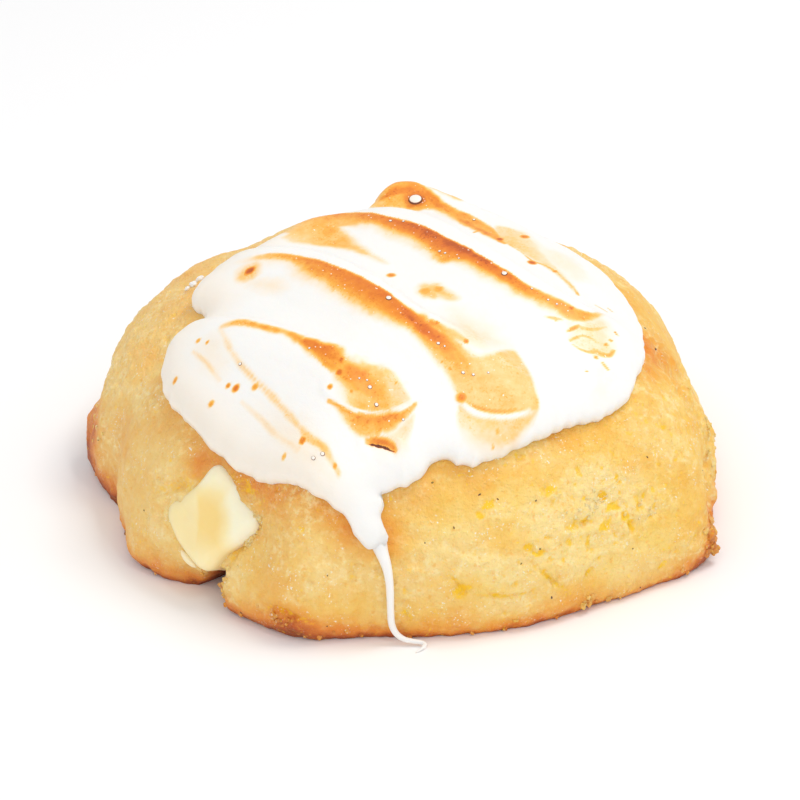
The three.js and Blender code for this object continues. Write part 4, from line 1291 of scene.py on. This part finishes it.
meringue, tree, shader, place = finish_of("torched_meringue")
froth = grained(tree, place, 420, 0.00006)
brown = kept_number(tree, "toast")
clouds = mottled(tree, froth, -0.07, 0.07)
flecks = speckle(tree, place, 1100, 3, 0.6, 21, 0.3, 0.7, -0.05, 0.05)
# Dots where froth burst, thickest where the clouds are dark.
dots = speckle(tree, place, 3000, 0, 0.5, 22, 0.58, 0.72, 0, 0.12)
dots = times(tree, dots, speckle(tree, place, 330, 1, 0.5, 24, 0.42, 0.56))
browned_only = spread_out(tree, brown, 0.06, 0.4)
uneven = plus(tree, plus(tree, flecks, clouds), dots)
brown = plus(tree, brown, times(tree, uneven, browned_only))
brown = worked(tree, "MINIMUM", brown, DARKEST)


def on_net(net, spots):
    """For each spot, the number of the net's nearest point."""
    flat = net.reshape(-1, net.shape[-1])
    return np.array([np.argmin(((flat - spot) ** 2).sum(1)) for spot in spots])


# The slit: an ellipse where the surface has it, bent a little, with a ragged rim. It is painted darkest brown,
# for the burn and for the shade inside the open slit, painted in.
slit_ends = cap.reshape(-1, 3)[on_net(cap_plan, (SLIT[0], SLIT[-1])), :2]
slit_way = unit(slit_ends[1] - slit_ends[0])
slit_middle = (*(slit_ends.mean(0) + TO_FOOTPRINT[:2]) * MM, 0)
from_slit = shader_node(tree, "ShaderNodeVectorMath", {1: slit_middle}, operation="SUBTRACT")
wire(tree, place, from_slit.inputs[0])


def measured(tree, vector, way):
    """How far a vector reaches along a way, in lengths of it."""
    node = shader_node(tree, "ShaderNodeVectorMath", {1: way}, operation="DOT_PRODUCT")
    wire(tree, vector, node.inputs[0])
    return node.outputs["Value"]


# Half the slit's length and half its width.
SLIT_HALF = 1.9
SLIT_OPEN = 0.17
along = measured(tree, from_slit.outputs["Vector"], (*slit_way / (SLIT_HALF * MM), 0))
across = measured(tree, from_slit.outputs["Vector"], (*left_of(slit_way) / (SLIT_OPEN * MM), 0))
along = worked(tree, "POWER", worked(tree, "ABSOLUTE", along, 0), 2)
across = plus(tree, across, times(tree, along, 0.9))
across = plus(tree, across, speckle(tree, place, 1900, 2, 0.5, 25, 0.3, 0.7, -0.5, 0.5))
reach = plus(tree, along, worked(tree, "POWER", worked(tree, "ABSOLUTE", across, 0), 2))
brown = worked(tree, "MAXIMUM", brown, spread_out(tree, reach, 0.7, 1.3, 1, 0))
meringue_colour = colour_steps(
    tree,
    brown,
    (
        (0.0, colour(244, 243, 240)),
        (0.15, colour(248, 231, 208)),
        (0.3, colour(248, 204, 130)),
        (0.45, colour(246, 178, 66)),
        (0.62, colour(236, 142, 32)),
        (0.78, colour(220, 112, 22)),
        (0.9, colour(182, 80, 20)),
        (1.0, colour(104, 42, 14)),
    ),
)
pops = times(tree, speckle(tree, place, 2600, 0, 0.5, 23, 0.76, 0.82), browned_only)
wire(tree, blended(tree, pops, meringue_colour, colour(255, 246, 226)), shader.inputs["Base Color"])
wire(tree, spread_out(tree, brown, 0.2, 0.9, 0.38, 0.5), shader.inputs["Roughness"])
soft_inside(shader, 0.35, (1.0, 0.85, 0.7), 0.0025)
wire(tree, froth["Normal"], shader.inputs["Normal"])

meringue_cap = make_piece(
    "meringue_cap",
    points,
    faces,
    meringue,
    {"toast": np.append(toast.ravel(), np.zeros(len(points) - toast.size))},
)
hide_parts("meringue")

# ---------------------------------------------------------------- bubbles of the meringue
# Bubbles of the meringue that the torch popped up: small glossy lenses, clear white in the middle, each with
# a thin burnt ring where it meets the meringue.

# Plan and radius.
BUBBLES = (
    (2.3, 21.3, 1.1), (-1.3, -14.4, 0.46), (14, -6.8, 0.46), (5.1, -22, 0.28), (-3.7, -29.1, 0.32),
    (-2.9, -31.1, 0.32), (0.5, -32.5, 0.22), (-9.8, -36.7, 0.34), (-10.8, -36.9, 0.32), (-20.4, -20.8, 0.28),
    (-1.2, 9.5, 0.28), (0.5, 8.7, 0.24), (6.3, -0.9, 0.22), (5.6, -0.2, 0.24), (8.1, -2.6, 0.18),
    (10.5, 15.1, 0.28), (8.1, -26, 0.28), (9.6, -26.2, 0.24), (11.4, -25.7, 0.2), (19.6, -11.6, 0.2),
    (20.7, -12.2, 0.2), (17.5, -9.7, 0.2), (5.8, -22.3, 0.18), (-11.3, -22.4, 0.2), (-5.1, -28.2, 0.18),
    (-4.1, -28.3, 0.18),
)
# Half length, half width and half height as shares of the radius, and how much of it is sunk in.
BUBBLE_SHARES = (1, 0.92, 0.5)
BUBBLE_SUNK = 0.08
BUBBLE_CELLS = 14


def rounded_block(size, corner, cells):
    """Points and faces of a box with rounded edges: a net on each side of the box, with every point pulled
    back to one corner's radius from the smaller box inside. The nets' shared borders are joined."""
    half = np.array(size) / 2
    a, b = square_net(cells)
    quads = net_faces(np.arange(a.size).reshape(a.shape))
    points, faces = [], []
    for axis in range(3):
        for sign in (-1, 1):
            side = np.empty((*a.shape, 3))
            side[..., axis], side[..., (axis + 1) % 3], side[..., (axis + 2) % 3] = sign, a, b
            faces.append((quads if sign > 0 else quads[:, ::-1]) + len(points) * a.size)
            points.append(side.reshape(-1, 3) * half)
    points = np.concatenate(points)
    inner = np.clip(points, corner - half, half - corner)
    points = inner + corner * unit(points - inner)
    points, joined = np.unique(np.round(points, 6), axis=0, return_inverse=True)
    return points, joined.ravel()[np.concatenate(faces)]


def standing(out, turned):
    """Three directions at each place, as rows: two along the surface, turned about the way out, and that."""
    first = unit(np.cross(out, (1, 0.3, 0.1)))
    second = np.cross(out, first)
    cos, sin = np.cos(turned)[:, None], np.sin(turned)[:, None]
    return np.stack([cos * first + sin * second, cos * second - sin * first, out], 1)


def copies(shape, faces, places, frames, sizes):
    """Points and faces of many copies of a small shape, or of one shape for each: every copy scaled by its
    three sizes, turned to its three directions and set in its place."""
    shapes = np.broadcast_to(shape, (len(places), *shape.shape[-2:]))
    points = np.einsum("mpk,mk,mkj->mpj", shapes, sizes, frames) + places[:, None]
    faces = faces + shapes.shape[1] * np.arange(len(places))[:, None, None]
    return points.reshape(-1, 3), faces.reshape(-1, 4)


def small_ball(cells):
    """Points and faces of a ball of radius 1."""
    return rounded_block((2, 2, 2), 1, cells)


ball, ball_faces = small_ball(BUBBLE_CELLS)
cap_ways = unit(np.cross(np.gradient(cap, axis=0), np.gradient(cap, axis=1))).reshape(-1, 3)
cap_ways *= np.sign(cap_ways[:, 2:])
bubbles = np.array(BUBBLES)
under_bubble = on_net(cap_plan, bubbles[:, :2])
radii = bubbles[:, 2]
places = cap.reshape(-1, 3)[under_bubble] - cap_ways[under_bubble] * radii[:, None] * BUBBLE_SUNK
bubble_sizes = radii[:, None] * BUBBLE_SHARES
points, faces = copies(ball, ball_faces, places, standing(cap_ways[under_bubble], radii), bubble_sizes)
points[:, 2] = np.minimum(points[:, 2], footprint_high[2])
ring = np.tile(ease(np.hypot(ball[:, 0], ball[:, 1]), 0.72, 0.86), len(radii))

bubble_skin, tree, shader, place = finish_of("bubble_skin")
skin = grained(tree, place, 900, 0.00004)
ring_colour = colour_steps(
    tree,
    plus(tree, kept_number(tree, "ring"), mottled(tree, skin, -0.1, 0.1)),
    (
        (0.0, colour(244, 240, 232)),
        (0.35, colour(240, 226, 204)),
        (0.6, colour(190, 120, 70)),
        (0.9, colour(110, 60, 40)),
    ),
)
wire(tree, ring_colour, shader.inputs["Base Color"])
set_inputs(shader, {"Roughness": 0.22, "Coat Weight": 0.4})
wire(tree, skin["Normal"], shader.inputs["Normal"])
make_piece("meringue_bubbles", points, [faces], bubble_skin, {"ring": ring})

# ---------------------------------------------------------------- the string of meringue
# As the tongue slipped down the front it drew out a string of soft meringue, which ran down the dough and
# ended in a small hook on the table.

# Its middle line from inside the tongue to the hook, with its radius.
STRING = (
    (-4.3, -40, 16.4, 0.5),
    (-3.8, -40.9, 15.8, 0.95),
    (-3.1, -42, 14.8, 1.2),
    (-2.5, -43, 13.3, 0.95),
    (-2, -43.7, 12.1, 0.74),
    (-1.65, -44, 10.8, 0.62),
    (-1.4, -44.3, 9, 0.56),
    (-1.3, -44.5, 7, 0.52),
    (-1.25, -44.7, 4.8, 0.5),
    (-1.1, -44.8, 3, 0.48),
    (-0.5, -44.95, 1.7, 0.43),
    (0.5, -45.2, 1, 0.37),
    (1.7, -45.35, 0.75, 0.33),
    (2.8, -45.4, 0.62, 0.3),
    (3.35, -45.75, 0.5, 0.28),
    (3.1, -46.4, 0.35, 0.24),
    (2.5, -47, 0.24, 0.16),
    (2.1, -47.3, 0.17, 0.07),
)
STRING_ROWS = 260
STRING_SIDES = 40
ABOVE_TABLE = 0.02


def along_path(path, radii, sides):
    """Rings of a round string along a path, each across the way it runs there. The first direction is
    carried from ring to ring, turned only as the path turns."""
    ahead = unit(np.gradient(path, axis=0))
    across = np.empty_like(path)
    first = np.cross(ahead[0], (0, 0, 1.0))
    for index, way in enumerate(ahead):
        first = unit(first - way * (first @ way))
        across[index] = first
    up = np.cross(ahead, across)
    cos, sin = plan_way(np.linspace(0, 2 * np.pi, sides, endpoint=False)).T[..., None]
    return path[:, None] + radii[..., None] * (cos * across[:, None] + sin * up[:, None])


path = smooth_line(STRING, STRING_ROWS)
path, radii = path[:, :3], path[:, 3:]
string_rings = along_path(path, radii * (1 + 0.05 * unevenness(path, 1.6, 41)[:, None]), STRING_SIDES)
string_rings[..., 2] = np.maximum(string_rings[..., 2], ABOVE_TABLE)
points, faces = rings_to_skin(string_rings, path[0], path[-1])
untoasted = {"toast": np.zeros(len(points))}
meringue_string = make_piece("meringue_string", points, faces, meringue, untoasted)
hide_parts("meringue")

# ---------------------------------------------------------------- the block of white chocolate
# One chunk of white chocolate stands on its corner in the side of the dough. Its edges softened in the oven
# and its face sank a little, and a sliver of it ran out below.

CHUNK_SIZE = (11.5, 11.5, 8)
CHUNK_AT = np.array([-25.4, -32.4, 12.6])
CHUNK_FACING = np.array([-0.52, -0.75, 0.41])
CHUNK_ROLL = np.radians(53)
CHUNK_CORNER = 2.1
CHUNK_PROUD = 1.5
CHUNK_SINK = 0.55
CHUNK_CELLS = 56

points, faces = rounded_block(CHUNK_SIZE, CHUNK_CORNER, CHUNK_CELLS)
half_wide, half_high, half_deep = np.array(CHUNK_SIZE) / 2
middle_share = np.clip(1 - (points[:, :2] / (half_wide, half_high)) ** 2, 0, 1).prod(1)
front = ease(points[:, 2], 0, half_deep)
points[:, 2] -= CHUNK_SINK * middle_share**0.8 * front
points[:, :2] *= 1 - 0.025 * np.cos(points[:, 1::-1] / half_wide * np.pi / 2)
# Its sides aren't straight: the lower left one bulges, the two beside it sink a little, the right one swells.
wide, high = (points[:, :2] / (half_wide, half_high)).T
points[:, 0] += 0.25 * bell(high, 0.6) * ease(wide, 0, 1) - 1.2 * bell(high, 0.65) * ease(-wide, 0, 1)
points[:, 1] += (
    0.35 * bell(wide + 0.2, 0.35) * ease(-high, 0, 1) - 0.4 * bell(wide - 0.15, 0.35) * ease(high, 0, 1)
)
left_corner = bell(np.hypot(wide + 1, high - 1), 0.6)
points[:, :2] += 0.4 * left_corner[:, None] * np.array([-1, 1])
points += 0.2 * unevenness(points, 4, 51)[:, None] * unit(points)
points[:, 2] += 0.05 * unevenness(points, 2.2, 52) * front
facing = unit(CHUNK_FACING)
level = unit(np.cross((0, 0, 1.0), facing))
rising = np.cross(facing, level)
wide_way = level * np.cos(CHUNK_ROLL) + rising * np.sin(CHUNK_ROLL)
high_way = rising * np.cos(CHUNK_ROLL) - level * np.sin(CHUNK_ROLL)
# Three facets lean different ways: pale tan at the left, golden down the middle, nearly white at the right.
# That paleness is painted light: the edges and the right facet are painted near white, where light falls.
rise_off = points[:, 0] * np.sin(CHUNK_ROLL) + points[:, 1] * np.cos(CHUNK_ROLL)
level_off = points[:, 0] * np.cos(CHUNK_ROLL) - points[:, 1] * np.sin(CHUNK_ROLL) + 0.27 * rise_off
points[:, 2] -= front * (0.4 * ease(-level_off, 1.6, 5) + 0.3 * ease(level_off, 2.2, 6))
wavering = 0.7 * unevenness(points, 3, 54)
painted_edge_light = 0.5 * ease(-level_off, 1.4, 2.4) + ease(level_off + wavering, 0.4, 4.4)
painted_edge_light = np.maximum(painted_edge_light, 0.85 * ease(rise_off + wavering, 1, 5.5))
painted_edge_light = np.maximum(painted_edge_light, 0.55 * ease(-rise_off + wavering, 1.5, 5.5))
points = points @ np.stack([wide_way, high_way, facing]) + CHUNK_AT + facing * (CHUNK_PROUD - half_deep)

white_chocolate, tree, shader, place = finish_of("white_chocolate")
smear = grained(tree, place, 160, 0.00008)
pale = plus(tree, kept_number(tree, "painted_edge_light"), mottled(tree, smear, -0.12, 0.12))
chocolate_colour = colour_steps(
    tree,
    pale,
    ((0.0, colour(252, 218, 140)), (0.5, colour(254, 230, 172)), (1.0, colour(255, 245, 214))),
)
wire(tree, chocolate_colour, shader.inputs["Base Color"])
set_inputs(shader, {"Roughness": 0.38})
soft_inside(shader, 0.4, (1.0, 0.8, 0.45), 0.003)
wire(tree, smear["Normal"], shader.inputs["Normal"])
chocolate_block = make_piece(
    "chocolate_block", points, [faces], white_chocolate, {"painted_edge_light": painted_edge_light}
)
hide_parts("chunk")

# ---------------------------------------------------------------- the sliver of white chocolate
# A thin sliver of the same white chocolate. It ran out of the chunk in the oven and set on the dough below
# it, thick in the middle and drawn out at both ends.

# Its middle line, with its radius.
SLIVER = (
    (-30, -31.3, 6.8, 0.1),
    (-29.6, -31.75, 6.45, 0.4),
    (-28.9, -32.4, 5.9, 0.5),
    (-28.3, -32.9, 5.5, 0.4),
    (-27.9, -33.2, 5.2, 0.1),
)
SLIVER_ROWS = 60
SLIVER_SIDES = 24
# How near it comes to the palest of the chunk, 0 to 1.
SLIVER_LIGHT = 0.75

path = smooth_line(SLIVER, SLIVER_ROWS)
path, radii = path[:, :3], path[:, 3:]
sliver_rings = along_path(path, radii * (1 + 0.12 * unevenness(path, 0.9, 53)[:, None]), SLIVER_SIDES)
points, faces = rings_to_skin(sliver_rings, path[0], path[-1])
sliver_light = {"painted_edge_light": np.full(len(points), SLIVER_LIGHT)}
make_piece("chocolate_sliver", points, faces, white_chocolate, sliver_light)

# ---------------------------------------------------------------- crumbs of dough
# Crumbs that broke off where the dough is torn and stuck there: by the notch, round the chunk, up the right
# wall and at its corner, in the rough patch at the front, and along the foot.

# Middle of a cluster, its reach along and up the side, how many, and their smallest and largest radius.
CRUMB_CLUSTERS = (
    ((-23.3, -36.4, 4.2), (0.5, 1.8), 16, 0.2, 0.5),
    ((-27.4, -35.4, 2.6), (1.4, 0.6), 10, 0.2, 0.42),
    ((-20.8, -36.2, 11.2), (0.9, 2.8), 12, 0.2, 0.6),
    ((-28, -33.6, 4.4), (1.4, 0.8), 8, 0.2, 0.4),
    ((-18.9, -35.6, 14.2), (0.9, 0.9), 9, 0.25, 0.55),
    ((45, -4, 9), (4, 6), 34, 0.22, 0.6),
    ((42.4, -20, 3.4), (2.6, 1.6), 26, 0.3, 0.8),
    ((42.4, -22.5, 3.2), (1.2, 1.2), 12, 0.3, 0.9),
    ((25.3, -36.9, 1.8), (1, 0.9), 9, 0.25, 0.55),
    ((-16, -43.8, 3.2), (2.4, 0.8), 12, 0.2, 0.4),
    ((26, -33, 15.2), (3.4, 1.6), 26, 0.16, 0.36),
    ((33, -30, 12), (2.6, 1.8), 12, 0.16, 0.34),
    ((-42.5, 0, 9.4), (3, 1.6), 12, 0.2, 0.42),
)
FOOT_CRUMBS = 60
CRUMB_CELLS = 6
# How closely a cluster keeps to its middle, and where the foot's crumbs lie, as shares of reach and of rim.
CLUSTER_SPREAD = 0.6
FOOT_REACH = 0.985
# A crumb's least and most half length, half width and half height, as shares of its radius.
LEAST_SHARES, MOST_SHARES = (0.9, 0.7, 0.6), (1.4, 1.1, 0.9)


def on_dough(spots):
    """For each spot: the number of the dough's nearest point, that point, and the way out of the dough."""
    nearest = on_net(rings, spots)
    return nearest, rings.reshape(-1, 3)[nearest], outward.reshape(-1, 3)[nearest]


draws = np.random.default_rng(61)
spots, sizes = [], []
for middle, (along, up), count, least, most in CRUMB_CLUSTERS:
    sideways = levelled(left_of(unit(np.array(middle[:2]) - DOME_AXIS)))
    draw = draws.normal(size=(count, 2)) * CLUSTER_SPREAD
    spots.append(middle + along * draw[:, :1] * sideways + up * draw[:, 1:] * np.array([0, 0, 1]))
    sizes.append(least + (most - least) * draws.random(count) ** 2)
foot_turns = draws.uniform(-np.pi, np.pi, FOOT_CRUMBS)
foot_plan = DOME_AXIS + FOOT_REACH * rim_radius(foot_turns)[:, None] * plan_way(foot_turns)
spots.append(np.append(foot_plan, draws.uniform(0.3, 2, (FOOT_CRUMBS, 1)), 1))
sizes.append(draws.uniform(0.16, 0.4, FOOT_CRUMBS))
spots, sizes = np.concatenate(spots), np.concatenate(sizes)
under_crumb, places, crumb_out = on_dough(spots)
crumb_sizes = sizes[:, None] * draws.uniform(LEAST_SHARES, MOST_SHARES, (len(sizes), 3))
# Those at the foot are baked and stand out, those higher up are pale and half sunk in.
at_foot = 1 - ease(height.ravel()[under_crumb], 4, 9)
places = places + crumb_out * (sizes * (0.25 * at_foot - 0.1))[:, None]
ball, ball_faces = small_ball(CRUMB_CELLS)
lumpy = ball * (1 + 0.6 * unevenness(ball + 5 * np.arange(len(sizes))[:, None, None], 0.9, 62))[..., None]
frames = standing(crumb_out, draws.uniform(0, 2 * np.pi, len(sizes)))
points, faces = copies(lumpy, ball_faces, places, frames, crumb_sizes)
points = np.clip(points, footprint_low, footprint_high)
crumb_brown = np.clip(browning_and_shade.ravel()[under_crumb], 0.52 * at_foot, 0.3 + 0.4 * at_foot)
crumb_brown += draws.uniform(-0.14, 0.04, len(sizes))
crumb_gold = 0.45 * np.clip(gold_share, 0, 1).ravel()[under_crumb]
make_piece(
    "dough_crumbs",
    points,
    [faces],
    crust,
    {
        "browning_and_shade": np.repeat(crumb_brown, len(ball)),
        "hollows": np.full(len(points), 0.15),
        "torn": np.repeat(1 - 0.7 * at_foot, len(ball)),
        "gold": np.repeat(crumb_gold, len(ball)),
    },
)

# ---------------------------------------------------------------- dark specks
# Specks of vanilla and of lemon zest, stirred into the dough and baked into its crust. Those of vanilla are
# black-brown, those of zest olive.

# Place, half length, half width, and 0 for vanilla or 1 for zest.
SPECKS = (
    (20.5, -40, 4.4, 0.28, 0.18, 0),
    (10.6, -38.4, 19.2, 0.3, 0.14, 0),
    (13, -38.3, 18.6, 0.22, 0.13, 0),
    (18.4, -37.1, 17.6, 0.24, 0.12, 0),
    (19.1, -39.8, 11.3, 0.2, 0.14, 0),
    (3.3, -42.2, 14, 0.14, 0.12, 0),
    (31.8, -32.7, 7.7, 0.14, 0.12, 0),
    (33.8, -26.6, 18.6, 0.22, 0.14, 0),
    (36.5, -3.1, 23.9, 0.36, 0.2, 0),
    (35.1, 1.3, 24.9, 0.24, 0.16, 0),
    (33.3, -32, 1, 0.18, 0.14, 0),
    (-10, -42.6, 3.6, 0.16, 0.12, 0),
    (-20.5, -37.8, 2.2, 0.26, 0.14, 0),
    (-43.6, -2.4, 8.8, 0.24, 0.14, 0),
    (4.4, -37.9, 20.9, 0.46, 0.2, 1),
    (7.2, -41, 15.6, 0.24, 0.14, 1),
    (16.4, -41.2, 10.2, 0.22, 0.13, 1),
    (-34.4, -24, 9, 0.22, 0.16, 1),
    (-9.6, -41.8, 9.6, 0.2, 0.14, 1),
    (38.4, -20, 12.6, 0.2, 0.14, 1),
    (-12, 38, 18, 0.26, 0.16, 0),
    (22, 36, 14, 0.24, 0.16, 1),
    (-30, 27, 15, 0.22, 0.16, 0),
)
# Shares of the half length, of the half width, and of the half width again for the height.
SPECK_SHARES = (0.85, 0.75, 0.5)
# Each speck is turned this much further than the one before it, in radians.
SPECK_TURN = 1.9

specks = np.array(SPECKS)
_, places, speck_out = on_dough(specks[:, :3])
speck_sizes = specks[:, (3, 4, 4)] * SPECK_SHARES
frames = standing(speck_out, SPECK_TURN * np.arange(len(specks)))
points, faces = copies(ball, ball_faces, places, frames, speck_sizes)
speck_paint, tree, shader, place = finish_of("speck_paint")
speck_grain = grained(tree, place, 1500, 0.00005)
speck_colour = blended(tree, kept_number(tree, "zest"), colour(74, 42, 26), colour(132, 112, 34))
paler = spread_out(tree, speck_grain["Mottle"], 0.35, 0.7, 0, 0.5)
speck_colour = blended(tree, paler, speck_colour, colour(120, 78, 44))
wire(tree, speck_colour, shader.inputs["Base Color"])
set_inputs(shader, {"Roughness": 0.5})
wire(tree, speck_grain["Normal"], shader.inputs["Normal"])
of_zest = {"zest": np.repeat(specks[:, 5], len(ball))}
make_piece("dark_specks", points, [faces], speck_paint, of_zest)

# ---------------------------------------------------------------- bits of meringue
# Small lumps of the same soft meringue. The spoon dropped them on the dough beside the cap, at the rear
# left, and they stick there.

# Place and the three half sizes.
BITS = (
    (-29.8, 10.7, 27.1, 0.9, 0.6, 0.5),
    (-28.9, 12.2, 27.3, 0.7, 0.5, 0.45),
    (-30.6, 9.6, 26.6, 0.4, 0.3, 0.3),
    (-31, -2.8, 25.9, 0.7, 0.45, 0.35),
    (-31.8, -3.6, 25.2, 0.4, 0.35, 0.3),
)
BIT_CELLS = 14
BIT_LIFT = 0.2

bits = np.array(BITS)
_, places, bit_out = on_dough(bits[:, :3])
ball, ball_faces = small_ball(BIT_CELLS)
lumpy = ball * (1 + 0.25 * unevenness(ball, 0.8, 71))[:, None]
frames = standing(bit_out, np.arange(len(bits)))
points, faces = copies(lumpy, ball_faces, places + BIT_LIFT * bit_out, frames, bits[:, 3:])
untoasted = {"toast": np.zeros(len(points))}
make_piece("meringue_bits", points, [faces], meringue, untoasted)
